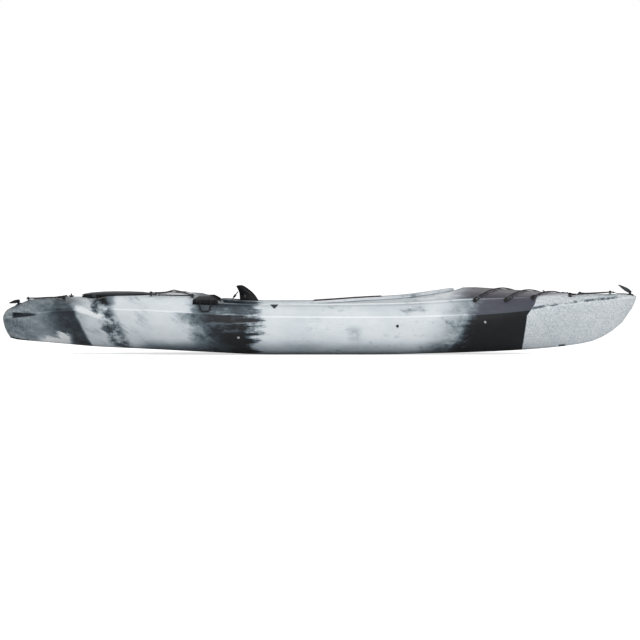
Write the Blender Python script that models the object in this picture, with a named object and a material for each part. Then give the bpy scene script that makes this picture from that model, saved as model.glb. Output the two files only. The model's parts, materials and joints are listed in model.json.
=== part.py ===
# Recreational kayak in metres: +X is the bow, +Y is port, +Z is up, and the keel rests on z = 0.
# The hull, deck and cockpit coaming are one moulded shell. Everything else is fitted to that shell.

import bisect
import math

import bmesh
import bpy
import numpy as np
from mathutils import Matrix, Vector
from mathutils.bvhtree import BVHTree

# Shell
WALL = 0.006
GAP = 0.0003
STERN_X = -1.9045
BOW_X = 1.906
CHANNEL_DEPTH = 0.008

# The shell's lengthwise lines, each as (x, value) stations that a smooth curve joins
KEEL_Z = [
    (STERN_X, 0.207), (-1.9005, 0.178), (-1.889, 0.146), (-1.872, 0.114), (-1.855, 0.092),
    (-1.83, 0.087), (-1.743, 0.078), (-1.55, 0.062), (-1.36, 0.0465), (-1.02, 0.0317), (-0.64, 0.0135),
    (-0.32, 0.0), (0.32, 0.0), (0.66, 0.0058), (1.0, 0.0151), (1.24, 0.026), (1.435, 0.042),
    (1.53, 0.054), (1.63, 0.0724), (1.7, 0.1005), (1.76, 0.137), (1.814, 0.181), (1.868, 0.252),
    (1.895, 0.307), (BOW_X, 0.337),
]
CROWN_Z = [
    (STERN_X, 0.2235), (-1.8967, 0.2446), (-1.875, 0.2686), (-1.851, 0.2807), (-1.8, 0.302),
    (-1.743, 0.3255), (-1.55, 0.3445), (-1.4, 0.3435), (-1.3, 0.3495), (-1.13, 0.352), (-1.0, 0.3545),
    (-0.93, 0.362), (-0.86, 0.37),
    (-0.73, 0.368), (-0.66, 0.353), (-0.6, 0.314), (-0.5, 0.307), (-0.2, 0.303), (-0.05, 0.305),
    (0.104, 0.326), (0.279, 0.3475), (0.484, 0.354), (0.664, 0.371), (0.755, 0.378), (0.8, 0.38),
    (0.87, 0.4), (0.95, 0.4005),
    (1.05, 0.393), (1.2, 0.383), (1.4, 0.369), (1.55, 0.361), (1.7, 0.36), (1.85, 0.3585),
    (1.895, 0.352), (BOW_X, 0.3448),
]
SHEER_Y = [
    (STERN_X, 0.014), (-1.89, 0.040), (-1.86, 0.068), (-1.80, 0.106), (-1.70, 0.155), (-1.5, 0.222),
    (-1.25, 0.286), (-1.0, 0.332), (-0.7, 0.371), (-0.4, 0.389), (-0.1, 0.3935), (0.2, 0.389), (0.5, 0.368),
    (0.8, 0.325), (1.1, 0.262), (1.4, 0.178), (1.6, 0.115), (1.75, 0.066), (1.85, 0.032), (1.895, 0.015),
    (BOW_X, 0.008),
]
SHEER_Z = [
    (STERN_X, 0.2152), (-1.8, 0.2288), (-1.6, 0.26), (-1.33, 0.2754), (-1.0, 0.267), (-0.87, 0.2577),
    (-0.63, 0.2451), (-0.3, 0.2298), (0.1, 0.2273), (0.48, 0.2282), (0.73, 0.235), (0.97, 0.2429),
    (1.14, 0.2557), (1.27, 0.2695), (1.36, 0.284), (1.48, 0.2998), (1.63, 0.3168), (1.76, 0.3287),
    (1.88, 0.3376), (BOW_X, 0.3408),
]
DECK_EDGE_Y = [
    (STERN_X, 0.010), (-1.89, 0.030), (-1.86, 0.050), (-1.80, 0.080), (-1.70, 0.122), (-1.5, 0.185),
    (-1.40, 0.215), (-1.30, 0.250), (-1.0, 0.305), (-0.75, 0.330), (-0.5, 0.338), (-0.1, 0.343),
    (0.2, 0.338), (0.5, 0.316), (0.8, 0.272), (1.1, 0.205), (1.4, 0.132), (1.6, 0.082), (1.75, 0.046), (1.85, 0.022),
    (1.895, 0.010), (BOW_X, 0.005),
]
DECK_EDGE_Z = [
    (STERN_X, 0.2183), (-1.8967, 0.2296), (-1.875, 0.2432), (-1.8, 0.2663), (-1.7, 0.2824),
    (-1.5, 0.3031), (-1.4, 0.3115), (-1.34, 0.321), (-1.28, 0.3407), (-1.2, 0.3474), (-1.0, 0.3476),
    (-0.85, 0.3423), (-0.75, 0.3351), (-0.65, 0.317), (-0.55, 0.3059), (-0.3, 0.3018), (0.1, 0.3019),
    (0.47, 0.3073), (0.66, 0.3159), (0.81, 0.3273), (0.95, 0.332), (1.107, 0.3357), (1.27, 0.3416),
    (1.5, 0.3478), (1.7, 0.3528), (1.85, 0.355), (1.895, 0.3488), (BOW_X, 0.3429),
]
BILGE_POWER = [
    (STERN_X, 2.0), (-1.8, 1.5), (-1.5, 1.6), (-1.0, 2.2), (-0.4, 2.8), (0.3, 2.8), (0.9, 2.1),
    (1.3, 1.6), (1.6, 1.35), (BOW_X, 1.3),
]
FLOOR_Y = [
    (STERN_X, 0.004), (-1.8, 0.012), (-1.5, 0.04), (-1.0, 0.12), (-0.5, 0.15), (0.4, 0.15), (0.9, 0.1),
    (1.3, 0.035), (1.6, 0.008), (BOW_X, 0.002),
]

# Recesses moulded into the sides: the stern groove's sections are (x, low z, high z, depth), and the
# notch beside the seat has three (x, z) corners
STERN_GROOVE = [(-1.832, 0.217, 0.255, 0.013), (-1.760, 0.222, 0.253, 0.012), (-1.688, 0.238, 0.248, 0.006)]
SIDE_NOTCH = [(-0.300, 0.305), (-0.240, 0.298), (-0.268, 0.274)]
SKID_PLATE_X = (-1.872, -1.745)
SKID_PLATE_HALF_WIDTH = 0.030
SKID_PLATE_HEIGHT = 0.010
DRAIN_PLUG_X = -1.494

# Cockpit
COCKPIT_REAR_X = -0.575
COCKPIT_FRONT_X = 0.783
COCKPIT_HALF_WIDTH = 0.268
COAMING_WALL = 0.006
COAMING_LIP = 0.018
LIP_SKIRT = 0.0155
RIM_Z = [
    (-0.62, 0.338), (-0.55, 0.333), (-0.45, 0.324), (-0.3, 0.3185), (-0.1, 0.3185), (0.0, 0.3205),
    (0.087, 0.328), (0.183, 0.3355), (0.279, 0.3416), (0.3635, 0.3455), (0.484, 0.353), (0.664, 0.3765),
    (0.755, 0.3915), (0.8, 0.4), (0.83, 0.402),
]

# Hatch behind the cockpit
HATCH_X = -1.2195
HATCH_HALF_LENGTH = 0.210
HATCH_HALF_WIDTH = 0.150
HATCH_RIM_TOP_Z = 0.360
HATCH_AFTER_DROP = 0.0075
LID_TAB_X = -1.348
LID_TAB_Y = -0.1356

# Handles: x of each hinge, its height over the deck, the grip's length and its tilt
BOW_HANDLE = (1.868, 0.0165, 0.090, math.radians(-31))
STERN_HANDLE = (-1.812, 0.0205, 0.066, math.radians(14))
HANDLE_HALF_WIDTH = 0.046
HANDLE_PIN_INSET = 0.009
HANDLE_PIN_RADIUS = 0.0036
SIDE_HANDLE_X = -0.676
BAIL_HALF_WIDTH = 0.0315
BAIL_LENGTH = 0.060
BAIL_STUB_RADIUS = 0.0034

# Cord and the posts that hold it
CORD_RADIUS = 0.004
POST_STEM_RADIUS = 0.0045
POST_CORD_HEIGHT = 0.0106
POST_HEAD_HEIGHT = 0.0155
CORD_LOOP_RADIUS = 0.0092
CORD_LEVEL = 0.0094
CORD_CLEARANCE = 0.0012
STARBOARD_BOW_POSTS = [(0.920, -0.255), (1.107, -0.215), (1.269, -0.170), (1.498, -0.105)]
PORT_BOW_POSTS = [(1.254, 0.172), (1.387, 0.137), (1.498, 0.105), (1.572, 0.082)]
BOW_APEX_POST = (1.748, 0.0)
KEEPER_RADIUS = 0.0032
AFTER_DECK_POSTS = [(-1.000, -0.285), (-0.756, -0.285), (-1.000, 0.285), (-0.756, 0.285)]
STERN_POSTS = [(-1.532, -0.085), (-1.749, 0.0), (-1.532, 0.085)]

# Seat
SEAT_REAR_X = -0.455
SEAT_FRONT_X = -0.030
SEAT_HALF_WIDTH = 0.215
SEAT_HEIGHT = 0.088
SEAT_THICKNESS = 0.008
SEAT_HINGE = Vector((-0.435, 0.0, 0.124))
SEAT_EAR_Y = 0.158
SEAT_LUG_Y = 0.168
SEAT_PIN_Y = 0.164
BACK_THICKNESS = 0.007
BACK_REAR_X = [
    (0.150, -0.456), (0.20, -0.463), (0.30, -0.472), (0.36, -0.474), (0.385, -0.482), (0.411, -0.495),
]
BACK_WING_X = [
    (0.150, -0.440), (0.20, -0.405), (0.26, -0.378), (0.30, -0.368), (0.323, -0.373), (0.342, -0.385),
    (0.368, -0.408), (0.393, -0.441), (0.405, -0.460), (0.411, -0.474),
]
BACK_HALF_Y = [
    (0.150, 0.166), (0.20, 0.180), (0.28, 0.184), (0.34, 0.182), (0.38, 0.172), (0.411, 0.150),
]
HINGE_BORE_RADIUS = 0.0044
BULKHEAD_FACE_X = -0.610
KEEPER_TOP = Vector((-0.4885, 0.0, 0.3765))
KEEPER_FOOT = Vector((-0.585, 0.0, 0.2510))

# Foot braces and seat: (x, z) where their bolts pass through the hull side
BRACE_BOLTS = [(0.460, 0.174), (0.983, 0.196)]
SEAT_BOLT = (-0.480, 0.106)
BOLT_LENGTH = 0.030
BOLT_HOLE_RADIUS = 0.0034
RAIL_STANDOFF = 0.030
RAIL_HALF_HEIGHT = 0.013
RAIL_HALF_THICKNESS = 0.006
RAIL_TEETH = 11
RAIL_TOOTH_PITCH = 0.034
LEVER_PIVOT = (0.010, -0.004)
THIGH_PAD_X = (-0.034, 0.376)


def clear_scene():
    for thing in list(bpy.data.objects):
        bpy.data.objects.remove(thing, do_unlink=True)


def make_material(name, color, roughness, metallic=0.0):
    material = bpy.data.materials.new(name)
    material.use_nodes = True
    shader = material.node_tree.nodes["Principled BSDF"]
    shader.inputs["Base Color"].default_value = (*color, 1.0)
    shader.inputs["Roughness"].default_value = roughness
    shader.inputs["Metallic"].default_value = metallic
    return material


def mesh_object(name, points, faces, material=None, smooth=True):
    mesh = bpy.data.meshes.new(name)
    mesh.from_pydata([tuple(p) for p in points], [], faces)
    tidy = bmesh.new()
    tidy.from_mesh(mesh)
    bmesh.ops.recalc_face_normals(tidy, faces=tidy.faces)
    tidy.to_mesh(mesh)
    tidy.free()
    if smooth:
        mesh.shade_smooth()
        mesh.set_sharp_from_angle(angle=math.radians(35))
    if material:
        mesh.materials.append(material)
    thing = bpy.data.objects.new(name, mesh)
    bpy.context.scene.collection.objects.link(thing)
    return thing


def ring_loft(name, rings, material=None, split=False):
    # Joins rings of equal point counts into a closed body with a flat cap at each end.
    # Split faces have the same diagonals on every loft of like rings, mirrored about the ring's middle.
    count = len(rings[0])
    points = [p for ring in rings for p in ring]
    faces = [tuple(range(count))[::-1], tuple(range(len(points) - count, len(points)))]
    for row in range(len(rings) - 1):
        low = row * count
        high = low + count
        for i in range(count):
            j = (i + 1) % count
            if not split:
                faces.append((low + i, low + j, high + j, high + i))
            elif i < count // 2:
                faces += [(low + i, low + j, high + j), (low + i, high + j, high + i)]
            else:
                faces += [(low + i, low + j, high + i), (low + j, high + j, high + i)]
    return mesh_object(name, points, faces, material)


def closed_sweep(name, sections, material=None):
    # Joins sections into a body that runs round and meets itself, such as a rim.
    count = len(sections[0])
    total = len(sections)
    points = [p for section in sections for p in section]
    faces = []
    for row in range(total):
        low = row * count
        high = (row + 1) % total * count
        for i in range(count):
            j = (i + 1) % count
            faces.append((low + i, low + j, high + j, high + i))
    return mesh_object(name, points, faces, material)


def as_cutter(thing):
    thing.display_type = "WIRE"
    thing.hide_render = True
    return thing


def combine(thing, other, operation):
    modifier = thing.modifiers.new(operation.lower(), "BOOLEAN")
    modifier.operation = operation
    modifier.solver = "EXACT"
    modifier.object = as_cutter(other)
    return thing


def frame_matrix(place, up, along):
    up = Vector(up).normalized()
    along = Vector(along)
    along = (along - up * along.dot(up)).normalized()
    side = up.cross(along)
    turn = Matrix((along, side, up)).transposed().to_4x4()
    return Matrix.Translation(Vector(place)) @ turn


def block(name, size, matrix, material=None, bevel=0.0, segments=2):
    tool = bmesh.new()
    bmesh.ops.create_cube(tool, size=1.0)
    bmesh.ops.scale(tool, vec=Vector(size), verts=tool.verts)
    if bevel:
        edges = tool.edges[:]
        bmesh.ops.bevel(tool, geom=edges, offset=bevel, segments=segments, affect="EDGES", profile=0.5)
    mesh = bpy.data.meshes.new(name)
    tool.to_mesh(mesh)
    tool.free()
    mesh.shade_smooth()
    mesh.set_sharp_from_angle(angle=math.radians(35))
    if material:
        mesh.materials.append(material)
    thing = bpy.data.objects.new(name, mesh)
    thing.matrix_world = matrix
    bpy.context.scene.collection.objects.link(thing)
    return thing


def turned(name, profile, matrix, material=None, sides=16, stretch=1.0):
    # Turns (radius, height) pairs round the local z axis; stretch widens the foot along local x.
    rings = []
    for radius, height in profile:
        wide = radius * stretch if radius > 0.0085 and height < 0.006 else radius
        ring = []
        for i in range(sides):
            angle = 2 * math.pi * i / sides
            ring.append(matrix @ Vector((wide * math.cos(angle), radius * math.sin(angle), height)))
        rings.append(ring)
    return ring_loft(name, rings, material)


def section(x, side, corners):
    # A ring in the plane at x from (y, z) corners, on the port side for 1 and on the starboard side for -1.
    return [Vector((x, side * y, z)) for y, z in corners]


def cross_pin(name, place, radius, reach, material=None, sides=10):
    # A round bar across the boat that reaches equally far to both sides of its place.
    matrix = Matrix.Translation(place) @ Matrix.Rotation(math.pi / 2, 4, "X")
    return turned(name, [(radius, -reach), (radius, reach)], matrix, material, sides)


def prism(name, outline, low, high, material=None):
    # Extrudes a plan outline of (x, y) pairs from z = low to z = high.
    rings = [[Vector((x, y, z)) for x, y in outline] for z in (low, high)]
    return ring_loft(name, rings, material)


class FairLine:
    # A smooth curve through stations that never overshoots them.
    def __init__(self, stations):
        self.x = [s[0] for s in stations]
        self.v = [s[1] for s in stations]
        steps = np.diff(self.x)
        slopes = np.diff(self.v) / steps
        self.tangent = [slopes[0]]
        for i in range(1, len(self.x) - 1):
            before, after = slopes[i - 1], slopes[i]
            if before * after <= 0:
                self.tangent.append(0.0)
            else:
                left, right = steps[i - 1], steps[i]
                weight = (left + 2 * right) / (3 * (left + right))
                self.tangent.append(before * after / (weight * after + (1 - weight) * before))
        self.tangent.append(slopes[-1])

    def __call__(self, x):
        x = min(max(x, self.x[0]), self.x[-1])
        i = min(max(bisect.bisect_right(self.x, x) - 1, 0), len(self.x) - 2)
        step = self.x[i + 1] - self.x[i]
        t = (x - self.x[i]) / step
        return (
            (1 + 2 * t) * (1 - t) ** 2 * self.v[i]
            + t * (1 - t) ** 2 * step * self.tangent[i]
            + t * t * (3 - 2 * t) * self.v[i + 1]
            + t * t * (t - 1) * step * self.tangent[i + 1]
        )


keel_z = FairLine(KEEL_Z)
crown_z = FairLine(CROWN_Z)
sheer_y = FairLine(SHEER_Y)
sheer_z = FairLine(SHEER_Z)
deck_edge_y = FairLine(DECK_EDGE_Y)
deck_edge_z = FairLine(DECK_EDGE_Z)
bilge_power = FairLine(BILGE_POWER)
floor_y = FairLine(FLOOR_Y)
rim_z = FairLine(RIM_Z)
seat_back_rear = FairLine(BACK_REAR_X)
seat_back_wing = FairLine(BACK_WING_X)
seat_back_half = FairLine(BACK_HALF_Y)


def channel_lift(x):
    # Two tracking channels run along the bottom and fade out towards the ends.
    fade = min(max((1.25 - abs(x)) / 0.35, 0.0), 1.0)
    return CHANNEL_DEPTH * fade * fade * (3 - 2 * fade)


def half_section(x, inset, bilge_steps, side_steps, deck_steps):
    # One side of the section at x, from the keel to the crown, as (y, z) pairs, drawn in by inset.
    keel = keel_z(x) + inset
    beam = sheer_y(x) - inset
    shoulder = sheer_z(x)
    edge_y = deck_edge_y(x) - inset
    edge_z = deck_edge_z(x) - 0.7 * inset
    crown = crown_z(x) - inset
    flat = min(floor_y(x), 0.6 * beam)
    lift = channel_lift(x)
    points = [(0.0, keel)]
    for share, raised in ((0.37, 0), (0.47, 1), (0.57, 1), (0.67, 0), (1.0, 0)):
        points.append((flat * share, keel + lift * raised))
    power = 2 / bilge_power(x)
    for i in range(1, bilge_steps + 1):
        angle = math.pi / 2 * i / bilge_steps
        y = flat + (beam - flat) * math.sin(angle) ** power
        z = shoulder - (shoulder - keel) * math.cos(angle) ** power
        points.append((y, z))
    for i in range(1, side_steps + 1):
        t = i / side_steps
        bulge = 0.05 * (edge_z - shoulder) * 4 * t * (1 - t)
        points.append((beam + (edge_y - beam) * t + bulge, shoulder + (edge_z - shoulder) * t))
    for i in range(1, deck_steps + 1):
        t = i / deck_steps
        share = math.cos(math.pi / 2 * t)
        y = edge_y * share if i < deck_steps else 0.0
        points.append((y, edge_z + (crown - edge_z) * (1 - share * share)))
    return points


def full_ring(x, inset, bilge_steps, side_steps, deck_steps):
    half = half_section(x, inset, bilge_steps, side_steps, deck_steps)
    return section(x, 1, half) + section(x, -1, half[-2:0:-1])


def spaced(stretches):
    # Stations along x: each stretch is (start, end, count), and the last end is added.
    places = []
    for start, end, count in stretches:
        places += list(np.linspace(start, end, count, endpoint=False))
    return places + [stretches[-1][1]]


def outer_body(name, inset=0.0):
    # The shell's outer form; a negative inset makes it larger, as a clearance for fittings.
    tail = [STERN_X, -1.9018, -1.893, -1.879]
    body = spaced([
        (-1.860, -1.74, 3), (-1.74, -1.42, 4), (-1.42, -1.22, 4), (-1.22, -0.80, 4), (-0.80, -0.56, 5),
        (-0.56, 0.44, 8), (0.44, 0.78, 3), (0.78, 0.94, 4), (0.94, 1.58, 6), (1.58, 1.88, 5),
    ])
    nose = [1.894, BOW_X]
    rings = [full_ring(x, inset, 5, 2, 4) for x in tail + body + nose]
    return ring_loft(name, rings, split=True)


def inner_body(name, inset):
    # The hollow inside the shell, with plainer sections.
    places = [-1.862, -1.84] + spaced([
        (-1.80, -1.42, 4), (-1.42, -1.22, 3), (-1.22, -0.80, 3), (-0.80, -0.56, 4), (-0.56, 0.44, 5),
        (0.44, 0.78, 2), (0.78, 0.94, 3), (0.94, 1.58, 4), (1.58, 1.82, 2),
    ])
    rings = [full_ring(x, inset, 4, 1, 2) for x in places]
    return ring_loft(name, rings, split=True)


def cockpit_outline(grow=0.0, count=44):
    # An egg-shaped plan, full at the seat and drawn to a rounded point forward, grown outwards by grow.
    middle = 0.5 * (COCKPIT_REAR_X + COCKPIT_FRONT_X)
    length = 0.5 * (COCKPIT_FRONT_X - COCKPIT_REAR_X)
    base = []
    for i in range(count):
        angle = 2 * math.pi * i / count
        c = math.cos(angle)
        s = math.sin(angle)
        power = 0.72 if c < 0 else 0.95
        along = math.copysign(abs(c) ** power, c)
        width = COCKPIT_HALF_WIDTH * (1 - 0.17 * (1 + along) ** 2 / 2)
        base.append(Vector((middle + length * along, width * math.copysign(abs(s) ** 0.86, s), 0.0)))
    grown = []
    for i, point in enumerate(base):
        run = (base[(i + 1) % count] - base[i - 1]).normalized()
        grown.append(point + Vector((run.y, -run.x, 0.0)) * grow)
    return grown


def deck_height(x, y):
    # Height of the deck surface between its two edges.
    edge = deck_edge_y(x)
    share = min(abs(y) / edge, 1.0)
    return deck_edge_z(x) + (crown_z(x) - deck_edge_z(x)) * (1 - share * share)


def coaming_ring():
    # The rim round the cockpit: a wall that stands on the deck, with a lip turned out and down.
    inner = cockpit_outline(-0.0015)
    wall = cockpit_outline(COAMING_WALL)
    skirt = cockpit_outline(COAMING_WALL + COAMING_LIP - 0.0045)
    lip = cockpit_outline(COAMING_WALL + COAMING_LIP)
    sections = []
    for a, b, c, d in zip(inner, wall, skirt, lip):
        top = rim_z(a.x)
        foot = min(deck_height(b.x, b.y) - 0.014, top - 0.022)
        sections.append([
            Vector((a.x, a.y, foot)),
            Vector((b.x, b.y, foot)),
            Vector((b.x, b.y, top - 0.0055)),
            Vector((c.x, c.y, top - 0.0070)),
            Vector((c.x, c.y, top - LIP_SKIRT)),
            Vector((d.x, d.y, top - LIP_SKIRT)),
            Vector((d.x, d.y, top - 0.0040)),
            Vector((b.x, b.y, top)),
            Vector((a.x, a.y, top - 0.0015)),
        ])
    return closed_sweep("coaming_ring", sections)


def oval(x, half_length, half_width, count=36, power=0.88, side_power=0.88):
    # A rounded plan outline of (x, y) pairs; lower powers make it boxier along and across.
    outline = []
    for i in range(count):
        angle = 2 * math.pi * i / count
        c = math.cos(angle)
        s = math.sin(angle)
        along = x + half_length * math.copysign(abs(c) ** power, c)
        outline.append((along, half_width * math.copysign(abs(s) ** side_power, s)))
    return outline


def stern_groove(side, backing=False):
    # A tapered recess in the stern's side, deepest at its after end, or the thicker wall behind it.
    middle_x = STERN_GROOVE[1][0]
    rings = []
    for x, low, high, depth in STERN_GROOVE:
        out = sheer_y(x) + 0.03
        deep = sheer_y(x) - depth
        if backing:
            x += math.copysign(WALL, x - middle_x)
            out = sheer_y(x) - 0.001
            deep -= WALL
            low -= WALL
            high += WALL
        shape = ((deep, low + 0.004), (deep, high - 0.003), (out, high + 0.004), (out, low))
        rings.append(section(x, side, shape))
    return ring_loft("stern_groove", rings)


def side_notch(side):
    # A three-sided dimple under the deck edge, beside the seat, which narrows as it goes in.
    middle_x = sum(corner[0] for corner in SIDE_NOTCH) / 3
    middle_z = sum(corner[1] for corner in SIDE_NOTCH) / 3
    rings = []
    for y, scale in ((0.343, 0.45), (0.400, 1.5)):
        ring = []
        for x, z in SIDE_NOTCH:
            spread_x = middle_x + (x - middle_x) * scale
            spread_z = middle_z + (z - middle_z) * scale
            ring.append(Vector((spread_x, side * y, spread_z)))
        rings.append(ring)
    return ring_loft("side_notch", rings)


def add_recess(hull, cutter, backing):
    # A recess with its own wall behind it: the backing joins the shell's inside, then the recess is cut.
    combine(backing, outer_body("recess_limit", 0.5 * WALL), "INTERSECT")
    combine(hull, backing, "UNION")
    combine(hull, cutter, "DIFFERENCE")


class Surface:
    # The shell's outer surface, for seating fittings on it.
    def __init__(self, thing):
        mesh = thing.data
        faces = [p.vertices for p in mesh.polygons]
        self.tree = BVHTree.FromPolygons([v.co for v in mesh.vertices], faces)

    def deck(self, x, y):
        place, normal, _, _ = self.tree.ray_cast(Vector((x, y, 1.0)), Vector((0, 0, -1)))
        if y == 0:
            normal = Vector((normal.x, 0.0, normal.z)).normalized()
        return place, normal

    def side(self, x, z, side):
        place, normal, _, _ = self.tree.ray_cast(Vector((x, side, z)), Vector((0, -side, 0)))
        return place, normal


def bolt_hole(name, place, normal, depth=0.06):
    matrix = frame_matrix(place, normal, (1, 0, 0))
    return turned(name, [(BOLT_HOLE_RADIUS, -depth), (BOLT_HOLE_RADIUS, 0.03)], matrix, sides=8)


def make_hull(shell_surface, plastic):
    hull = outer_body("hull_shell")
    hull.data.materials.append(plastic)
    combine(hull, inner_body("hull_hollow", WALL), "DIFFERENCE")
    opening = [(p.x, p.y) for p in cockpit_outline()]
    combine(hull, prism("cockpit_cut", opening, 0.255, 0.60), "DIFFERENCE")
    combine(hull, prism("hatch_cut", oval(HATCH_X, 0.172, 0.112, 28), 0.29, 0.45), "DIFFERENCE")
    combine(hull, coaming_ring(), "UNION")
    for side in (1, -1):
        add_recess(hull, stern_groove(side), stern_groove(side, backing=True))
        notch_place = Matrix.Translation((-0.269, side * 0.356, 0.291))
        add_recess(hull, side_notch(side), block("notch_back", (0.090, 0.040, 0.050), notch_place))
        for bolt in BRACE_BOLTS + [SEAT_BOLT]:
            place, normal = shell_surface.side(*bolt, side)
            combine(hull, bolt_hole("bolt_hole", place, normal), "DIFFERENCE")
    combine(hull, skid_recess(0.0004), "DIFFERENCE")
    combine(hull, plug_hole(shell_surface), "DIFFERENCE")
    return hull


def skid_recess(grow):
    # The wear plate's outline along the after keel, which it wraps, made larger all round by grow.
    after, fore = SKID_PLATE_X
    half = SKID_PLATE_HALF_WIDTH + grow
    rings = []
    for x in (after - grow, -1.858, -1.83, -1.79, fore + grow):
        floor = keel_z(max(x, -1.856))
        low = floor - 0.02
        high = floor + SKID_PLATE_HEIGHT + grow
        rings.append(section(x, 1, ((-half, low), (half, low), (half, high), (-half, high))))
    return ring_loft("skid_recess", rings)


def make_skid_plate(rubber):
    plate = outer_body("skid_plate", 0.0)
    plate.data.materials.append(rubber)
    combine(plate, skid_recess(0.0), "INTERSECT")
    return plate


def plug_frame(shell):
    place, normal = shell.deck(DRAIN_PLUG_X, 0.0)
    return frame_matrix(place, normal, (1, 0, 0))


def plug_hole(shell):
    return turned("plug_hole", [(0.0125, -0.04), (0.0125, 0.02)], plug_frame(shell), sides=16)


def make_drain_plug(shell, plastic):
    # A screwed plug: a flange on the deck, a threaded stub through it and an upright finger tab.
    matrix = plug_frame(shell)
    profile = [
        (0.0118, -0.018), (0.0118, 0.0026), (0.0175, 0.0028), (0.0175, 0.0055), (0.0150, 0.0070),
    ]
    plug = turned("drain_plug", profile, matrix, plastic, sides=16)
    tab = block("plug_tab", (0.007, 0.026, 0.016), matrix @ Matrix.Translation((0, 0, 0.010)), bevel=0.0025)
    combine(plug, tab, "UNION")
    return plug


def make_post(name, shell, place_xy, clear, rubber, levels):
    # A small cord post: an oval foot on the deck, a stem for one or two turns of cord, and a wider head.
    place, normal = shell.deck(*place_xy)
    matrix = frame_matrix(place, normal, (1, 0, 0))
    head = POST_HEAD_HEIGHT + (levels - 1) * CORD_LEVEL
    profile = [
        (0.0105, -0.008), (0.0105, 0.0005), (0.0078, 0.0018), (POST_STEM_RADIUS, 0.0026),
        (POST_STEM_RADIUS, head), (0.0084, head + 0.0006), (0.0084, head + 0.0026),
        (0.0055, head + 0.0044),
    ]
    post = turned(name, profile, matrix, rubber, sides=8, stretch=1.25)
    combine(post, clear, "DIFFERENCE")
    return post


class PostTurn:
    # The plane in which a cord turns round one post; headings are given in degrees from above.
    def __init__(self, shell, centre, level=0):
        place, normal = shell.deck(*centre)
        height = POST_CORD_HEIGHT + level * CORD_LEVEL
        self.matrix = frame_matrix(place + normal * height, normal, (1, 0, 0))

    def angle(self, heading):
        # The heading's angle within the plane, on the same turn of the circle.
        direction = self.matrix.to_3x3().transposed() @ heading_vector(heading)
        there = math.degrees(math.atan2(direction.y, direction.x))
        return heading + (there - heading + 180) % 360 - 180

    def spot(self, angle):
        turn = math.radians(angle)
        return self.matrix @ (CORD_LOOP_RADIUS * Vector((math.cos(turn), math.sin(turn), 0)))

    def along(self, heading):
        angle = math.radians(self.angle(heading))
        return self.matrix.to_3x3() @ Vector((math.cos(angle), math.sin(angle), 0))

    def arc(self, start, end, steps=5):
        # Each end is a heading and the offset from it, to the left, at which the cord lies.
        first = self.angle(start[0]) + start[1]
        last = self.angle(end[0]) + end[1]
        return [self.spot(first + (last - first) * i / steps) for i in range(steps + 1)]


def heading_vector(heading):
    return Vector((math.cos(math.radians(heading)), math.sin(math.radians(heading)), 0))


def bearing(start, end):
    return math.degrees(math.atan2(end[1] - start[1], end[0] - start[0]))


def cord_ground(shell, x, y):
    # The lowest height at which a cord's centre clears the deck.
    place, normal = shell.deck(x, y)
    return place.z + (CORD_RADIUS + CORD_CLEARANCE) / max(normal.z, 0.5)


def taut_heights(shell, plan, ends):
    # Heights of a cord pulled tight over the deck: the upper hull of the deck line between its two ends.
    lengths = [0.0]
    for a, b in zip(plan, plan[1:]):
        lengths.append(lengths[-1] + math.dist(a, b))
    floor = [cord_ground(shell, x, y) for x, y in plan]
    floor[0], floor[-1] = ends
    keep = []
    for spot in zip(lengths, floor):
        while len(keep) >= 2:
            s0, z0 = keep[-2]
            s1, z1 = keep[-1]
            if (z1 - z0) * (spot[0] - s0) <= (spot[1] - z0) * (s1 - s0):
                keep.pop()
            else:
                break
        keep.append(spot)
    return list(np.interp(lengths, [k[0] for k in keep], [k[1] for k in keep]))


def straight_run(shell, start, end, count, crossing=0.0):
    # A taut run from start to end that clears the deck and rises by crossing in its middle.
    finer = 6
    shares = np.linspace(0, 1, finer * count + 1)
    plan = [start.lerp(end, t).to_2d() for t in shares]
    heights = taut_heights(shell, plan, (start.z, end.z))
    corners = heights[::finer]
    chords = np.interp(shares, shares[::finer], corners)
    short = [height - chord for height, chord in zip(heights, chords)]
    points = []
    for i in range(1, count):
        rise = crossing * math.exp(-((i / count - 0.5) / 0.10) ** 2)
        rise += max(short[(i - 1) * finer:(i + 1) * finer + 1])
        points.append(Vector((*plan[i * finer], corners[i] + rise)))
    return points


def doubled_end(shell, turn, loop_end, heading, sideways):
    # The cord's doubled-back end: it leaves the turn and closes up beside the main strand.
    along = turn.along(heading)
    normal = turn.matrix.to_3x3() @ Vector((0, 0, 1))
    beside = normal.cross(along) * sideways * (2 * CORD_LOOP_RADIUS - 2 * CORD_RADIUS - CORD_CLEARANCE)
    points = []
    for distance, share in ((0.018, 0.50), (0.034, 0.94), (0.054, 1.0)):
        spot = loop_end + along * distance + beside * share
        sink = 0.10 * max(distance - 0.018, 0.0)
        points.append(Vector((spot.x, spot.y, max(cord_ground(shell, spot.x, spot.y), spot.z - sink))))
    return points


def single_cord(name, shell, start, end, material):
    # One elastic between two posts, doubled back on itself at each end.
    heading = bearing(start, end)
    begin = PostTurn(shell, start)
    close = PostTurn(shell, end)
    first = begin.arc((heading, 270), (heading, 90))
    last = close.arc((heading, 90), (heading, -90))
    points = doubled_end(shell, begin, first[0], heading, 1)[::-1] + first
    points += straight_run(shell, first[-1], last[0], 9) + last
    points += doubled_end(shell, close, last[-1], heading + 180, -1)
    return tube(name, points, CORD_RADIUS, material)


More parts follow.
